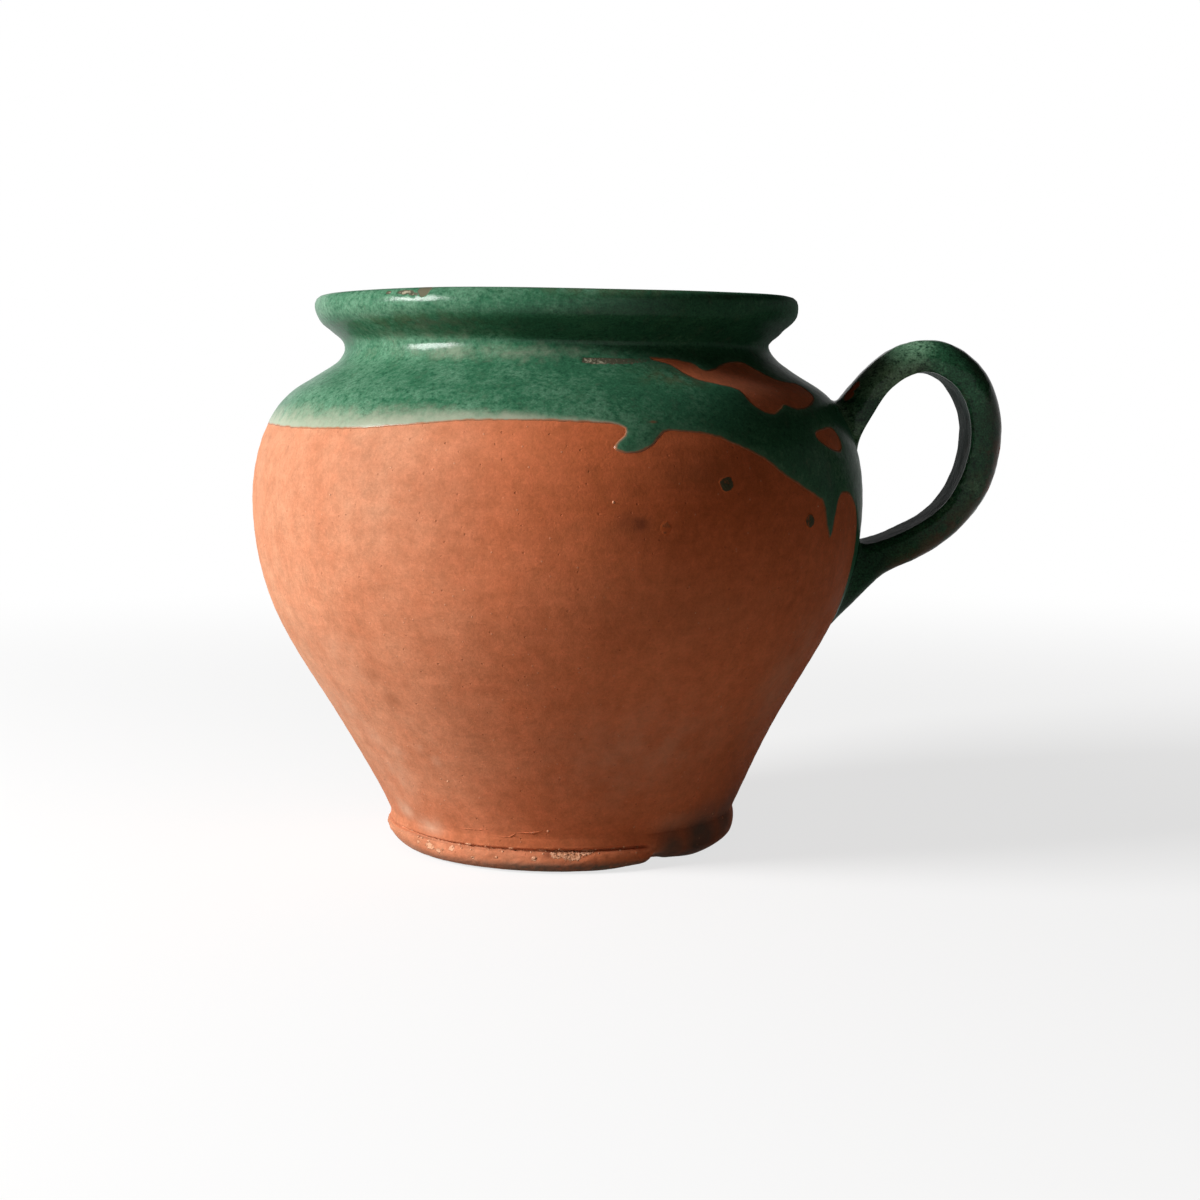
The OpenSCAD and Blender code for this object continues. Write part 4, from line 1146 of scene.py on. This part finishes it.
# Handle glaze: the same glaze over the whole strap, darker down its lower back, which is painted shade, and thin,
# mottled and paler at the crown, partly painted light. Hands have worn it brown along the back, and one spot at
# the upper root is bare.
handle_green = glaze_material("copper green glaze of the handle", (0.180, 0.340, 0.210),
                              (0.026, 0.104, 0.050), (0.007, 0.032, 0.016), 1.2, 2.0, 0.14, 0.22)
glaze_rings = strap(glaze_depth, 2.8)
under_rings = strap(-0.12, 2.5)
rings_total = ring_count * ring_points
end_faces = []
for k in range(ring_points):
    n = (k + 1) % ring_points
    end_faces.append((n, k, k + rings_total, n + rings_total))
    end_faces.append((last_ring + k, last_ring + n, last_ring + n + rings_total, last_ring + k + rings_total))
handle_glaze = new_piece("handle_glaze", np.vstack([glaze_rings.reshape(-1, 3), under_rings.reshape(-1, 3)]) * mm,
                         shell_faces(ring_count, ring_points, 0, True)
                         + shell_faces(ring_count, ring_points, rings_total) + end_faces, handle_green)
strap_places = points_of(handle_glaze) / mm
where = np.tile(np.arange(ring_count).repeat(ring_points) / (ring_count - 1), 2)
round_ring = np.tile(np.tile(np.arange(ring_points), ring_count), 2)


def strap_spots(places):
    """Stains on the strap, from spots of x, y, z, radius and strength"""
    share = np.zeros(len(strap_places))
    for x, y, z, radius, strength in places:
        far = np.linalg.norm(strap_places - [x, y, z], axis=1) / radius
        share = np.maximum(share, strength * np.clip(1.4 - far, 0, 1))
    return np.clip(share, 0, 1)


round_dome = round_ring / (dome_points - 1)
on_back = np.exp(-((round_dome - 0.59) / 0.16) ** 2)
# Painted light: a paler band of glaze along the visible side of the strap, where light catches it.
painted_light_side = np.exp(-((round_dome - 0.86) / 0.12) ** 2) * np.clip((where - 0.33) / 0.08, 0, 1)
painted_light_side *= np.clip((0.66 - where) / 0.1, 0, 1)
# The crown's glaze is paler: partly thin glaze, partly painted light on its left, which faces the lamp.
crown_off = strap_places[:, 0] - 95
thin_and_lit_crown = np.exp(-(crown_off / np.where(crown_off < 0, 14, 9)) ** 2) * (strap_places[:, 2] > 122)
inner_face = (round_ring >= dome_points + edge_points - 1).astype(float)
# The strap's lower back lies in the belly's shadow: painted shade deepens and darkens its glaze; it is also duller and
# less glossy.
shaded_lower_back = np.clip((where - 0.60) / 0.1, 0, 1) * (1 - inner_face)
marks(handle_glaze, "brim", np.full(2 * rings_total, 8.0))
marks(handle_glaze, "dull", np.maximum(0.7 * inner_face, 0.6 * shaded_lower_back))
# Painted reflection on the inner face, as a grey blue-green colour.
marks(handle_glaze, "slate_painted_reflection", inner_face)
marks(handle_glaze, "shone", np.clip(1 - 0.8 * shaded_lower_back, 0, 1) * (1 - 0.9 * inner_face))
marks(handle_glaze, "pool", np.clip(
    0.80 - 1.15 * thin_and_lit_crown - 0.30 * painted_light_side + 0.3 * shaded_lower_back - 0.55 * np.clip((0.2 - where) / 0.1, 0, 1), -0.35, 1))
marks(handle_glaze, "patina", np.maximum(
    strap_spots([(120.2, -4, 121.3, 4, 0.8), (120.5, -4, 107.5, 7, 0.9), (116.3, -6, 96.7, 6, 0.9),
                 (108.6, -6, 87, 6, 0.8), (103.9, -6, 83.1, 6, 0.7)]),
    1.0 * on_back * np.clip((where - 0.42) / 0.08, 0, 1) * np.clip((0.82 - where) / 0.12, 0, 1)))
marks(handle_glaze, "worn", strap_spots([
    (78.7, -6.5, 123.7, 2.4, 1.0), (80.5, -7.0, 126.4, 2.0, 1.0), (120.4, -5, 121, 1.4, 0.65),
    (120.6, -5, 108, 2.2, 0.7), (117.0, -6, 97.5, 1.8, 0.6)]))
# Pits in the handle glaze, coloured near black as painted shade inside them.
marks(handle_glaze, "pit_with_painted_shade", strap_spots([
    (112.3, -4, 115.8, 1.1, 1.0), (112.0, 3, 112.2, 0.9, 1.0), (109.2, -3, 100.6, 1.0, 1.0),
    (98.3, -4, 88.7, 1.1, 1.0)]))
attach(handle_glaze, "root")
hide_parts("handle_glaze")

# Glaze splashes: three drops that fell on the bare belly during the pouring. They soaked in as
# they dried, so each is a thin dull blister of grey-green, darker in the middle.
splash_green = glaze_material("dull splash of glaze", (0.150, 0.095, 0.048), (0.072, 0.078, 0.044),
                              (0.040, 0.056, 0.034), 1.0)
splash_spots = [(300.6, 101.9, 4.8, 4.1, 0.11, 0.36), (320.8, 91.9, 4.8, 3.9, 0.10, 0.40),
                (289.2, 91.8, 3.0, 4.0, 0.07, 0.46)]
petals, hoops = 40, 8
splash_parts, splash_faces, splash_brims, splash_wear = [], [], [], []
for number, (turn_at, z, wide, tall, rise, thinness) in enumerate(splash_spots):
    start = sum(len(p) for p in splash_parts)
    offsets, rises, brims = [(0.0, 0.0)], [rise], [wide / 2]
    for hoop in range(1, hoops + 1):
        out_share = hoop / hoops
        for s in np.arange(petals) * 2 * math.pi / petals:
            compass = Vector((math.cos(s), math.sin(s), number * 5.0))
            waver = 1 + 0.20 * noise.noise(compass * 1.1) + 0.12 * noise.noise(compass * 2.7)
            offsets.append((compass.x * wide / 2 * waver * out_share, compass.y * tall / 2 * waver * out_share))
            rises.append(rise * (1 - out_share ** 2) - 0.02 * (hoop == hoops))
            brims.append((1 - out_share) * wide / 2)
    offsets = np.array(offsets)
    turns_off = np.degrees(offsets[:, 0] / float(wall_radius(z)))
    base, out = on_clay(turn_at + turns_off, down(z) - offsets[:, 1])
    size = len(offsets)
    splash_parts.append(np.vstack([base + out * np.array(rises)[:, None] * mm, base - out * coat_buried * mm]))
    splash_brims += brims + brims
    splash_wear += [float(np.clip(0.85 - brim / 1.1, thinness, 0.85)) for brim in brims + brims]
    cap = [(0, 1 + k, 1 + (k + 1) % petals) for k in range(petals)]
    for hoop in range(hoops - 1):
        a, b = 1 + hoop * petals, 1 + (hoop + 1) * petals
        cap += [(a + k, b + k, b + (k + 1) % petals, a + (k + 1) % petals) for k in range(petals)]
    edge = 1 + (hoops - 1) * petals
    wall = [(edge + (k + 1) % petals, edge + k, size + edge + k, size + edge + (k + 1) % petals)
            for k in range(petals)]
    splash_faces += [tuple(start + v for v in f) for f in
                     cap + [tuple(size + v for v in reversed(f)) for f in cap] + wall]
splashes = new_piece("glaze_splashes", np.vstack(splash_parts), splash_faces, splash_green)
marks(splashes, "brim", np.array(splash_brims) + 0.3)
marks(splashes, "pool", 0.2 + 0.6 * np.clip(np.array(splash_brims) / 1.4, 0, 1))
marks(splashes, "dull", np.full(len(splash_brims), 0.8))
marks(splashes, "shone", np.full(len(splash_brims), 0.1))
marks(splashes, "worn", np.array(splash_wear))
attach(splashes, "root")
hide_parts("glaze_splashes")

# Studio: a pale floor that fades into white, a window-sized lamp at the left, and the camera at
# the height of the jug's shoulder.
floor_mesh = bpy.data.meshes.new("studio_floor")
floor_shape = bmesh.new()
shape_ops.create_circle(floor_shape, cap_ends=True, radius=6.0, segments=96)
floor_shape.to_mesh(floor_mesh)
floor_shape.free()
floor = bpy.data.objects.new("studio_floor", floor_mesh)
bpy.context.scene.collection.objects.link(floor)


def seen_directly(tree):
    """1 for what the camera sees, by itself or in a gloss, and 0 for the light that falls on things"""
    path = add(tree, "ShaderNodeLightPath").outputs
    in_gloss = calc(tree, "MAXIMUM", path["Is Glossy Ray"], path["Is Transmission Ray"])
    return calc(tree, "MAXIMUM", path["Is Camera Ray"], in_gloss)


pale = bpy.data.materials.new("pale studio floor")
pale.use_nodes = True
tree = pale.node_tree
tree.nodes.clear()
seen = seen_directly(tree)
coords = add(tree, "ShaderNodeTexCoord").outputs["Object"]
spot = add(tree, "ShaderNodeVectorMath", {0: coords}, operation="LENGTH").outputs["Value"]
fade = level_of(tree, eased(tree, spot, 0.15, 0.75), 0.0, 1.0, 0.72, 1.0)
matt = add(tree, "ShaderNodeBsdfDiffuse", {"Color": mix(tree, seen, (0.47, 0.41, 0.35), (0.90, 0.90, 0.90))})
white = add(tree, "ShaderNodeEmission", {"Color": (1, 1, 1, 1), "Strength": 1.0})
surface = add(tree, "ShaderNodeMixShader", {0: product(tree, seen, fade), 1: matt.outputs[0],
                                            2: white.outputs[0]})
tree.links.new(surface.outputs[0], add(tree, "ShaderNodeOutputMaterial").inputs["Surface"])
floor_mesh.materials.append(pale)

world = bpy.data.worlds.new("studio")
bpy.context.scene.world = world
world.use_nodes = True
tree = world.node_tree
tree.nodes.clear()
direction = add(tree, "ShaderNodeTexCoord").outputs["Generated"]
upward = add(tree, "ShaderNodeSeparateXYZ", {0: direction}).outputs["Z"]
backdrop = mix(tree, eased(tree, upward, 0.22, 0.36), (1.0, 1.0, 1.0), (0.05, 0.05, 0.05))
sky_colour = mix(tree, seen_directly(tree), (0.046, 0.038, 0.032), backdrop)
sky = add(tree, "ShaderNodeBackground", {"Color": sky_colour, "Strength": 1.0})
tree.links.new(sky.outputs[0], add(tree, "ShaderNodeOutputWorld").inputs["Surface"])

aim = Vector((0, 0, 0.09))
lamp = bpy.data.lights.new("window", "AREA")
lamp.shape, lamp.size, lamp.size_y = "RECTANGLE", 0.46, 0.28
lamp.energy = 20.9
window = bpy.data.objects.new("window", lamp)
bpy.context.scene.collection.objects.link(window)
lamp_turn, lamp_rise, lamp_distance = math.radians(201.5), math.radians(25), 1.1
window.location = aim + lamp_distance * Vector((
    math.cos(lamp_turn) * math.cos(lamp_rise), math.sin(lamp_turn) * math.cos(lamp_rise), math.sin(lamp_rise)))
window.rotation_euler = (aim - window.location).to_track_quat("-Z", "Y").to_euler()

camera_data = bpy.data.cameras.new("camera")
camera_data.lens, camera_data.sensor_width = 61.52, 36
camera = bpy.data.objects.new("camera", camera_data)
bpy.context.scene.collection.objects.link(camera)
camera.matrix_world = (Matrix.Translation((0.01155, -0.56676, 0.12515))
                       @ Matrix.Rotation(math.radians(90 - 5.911), 4, "X"))
bpy.context.scene.camera = camera
bpy.context.scene.view_settings.view_transform = "Standard"
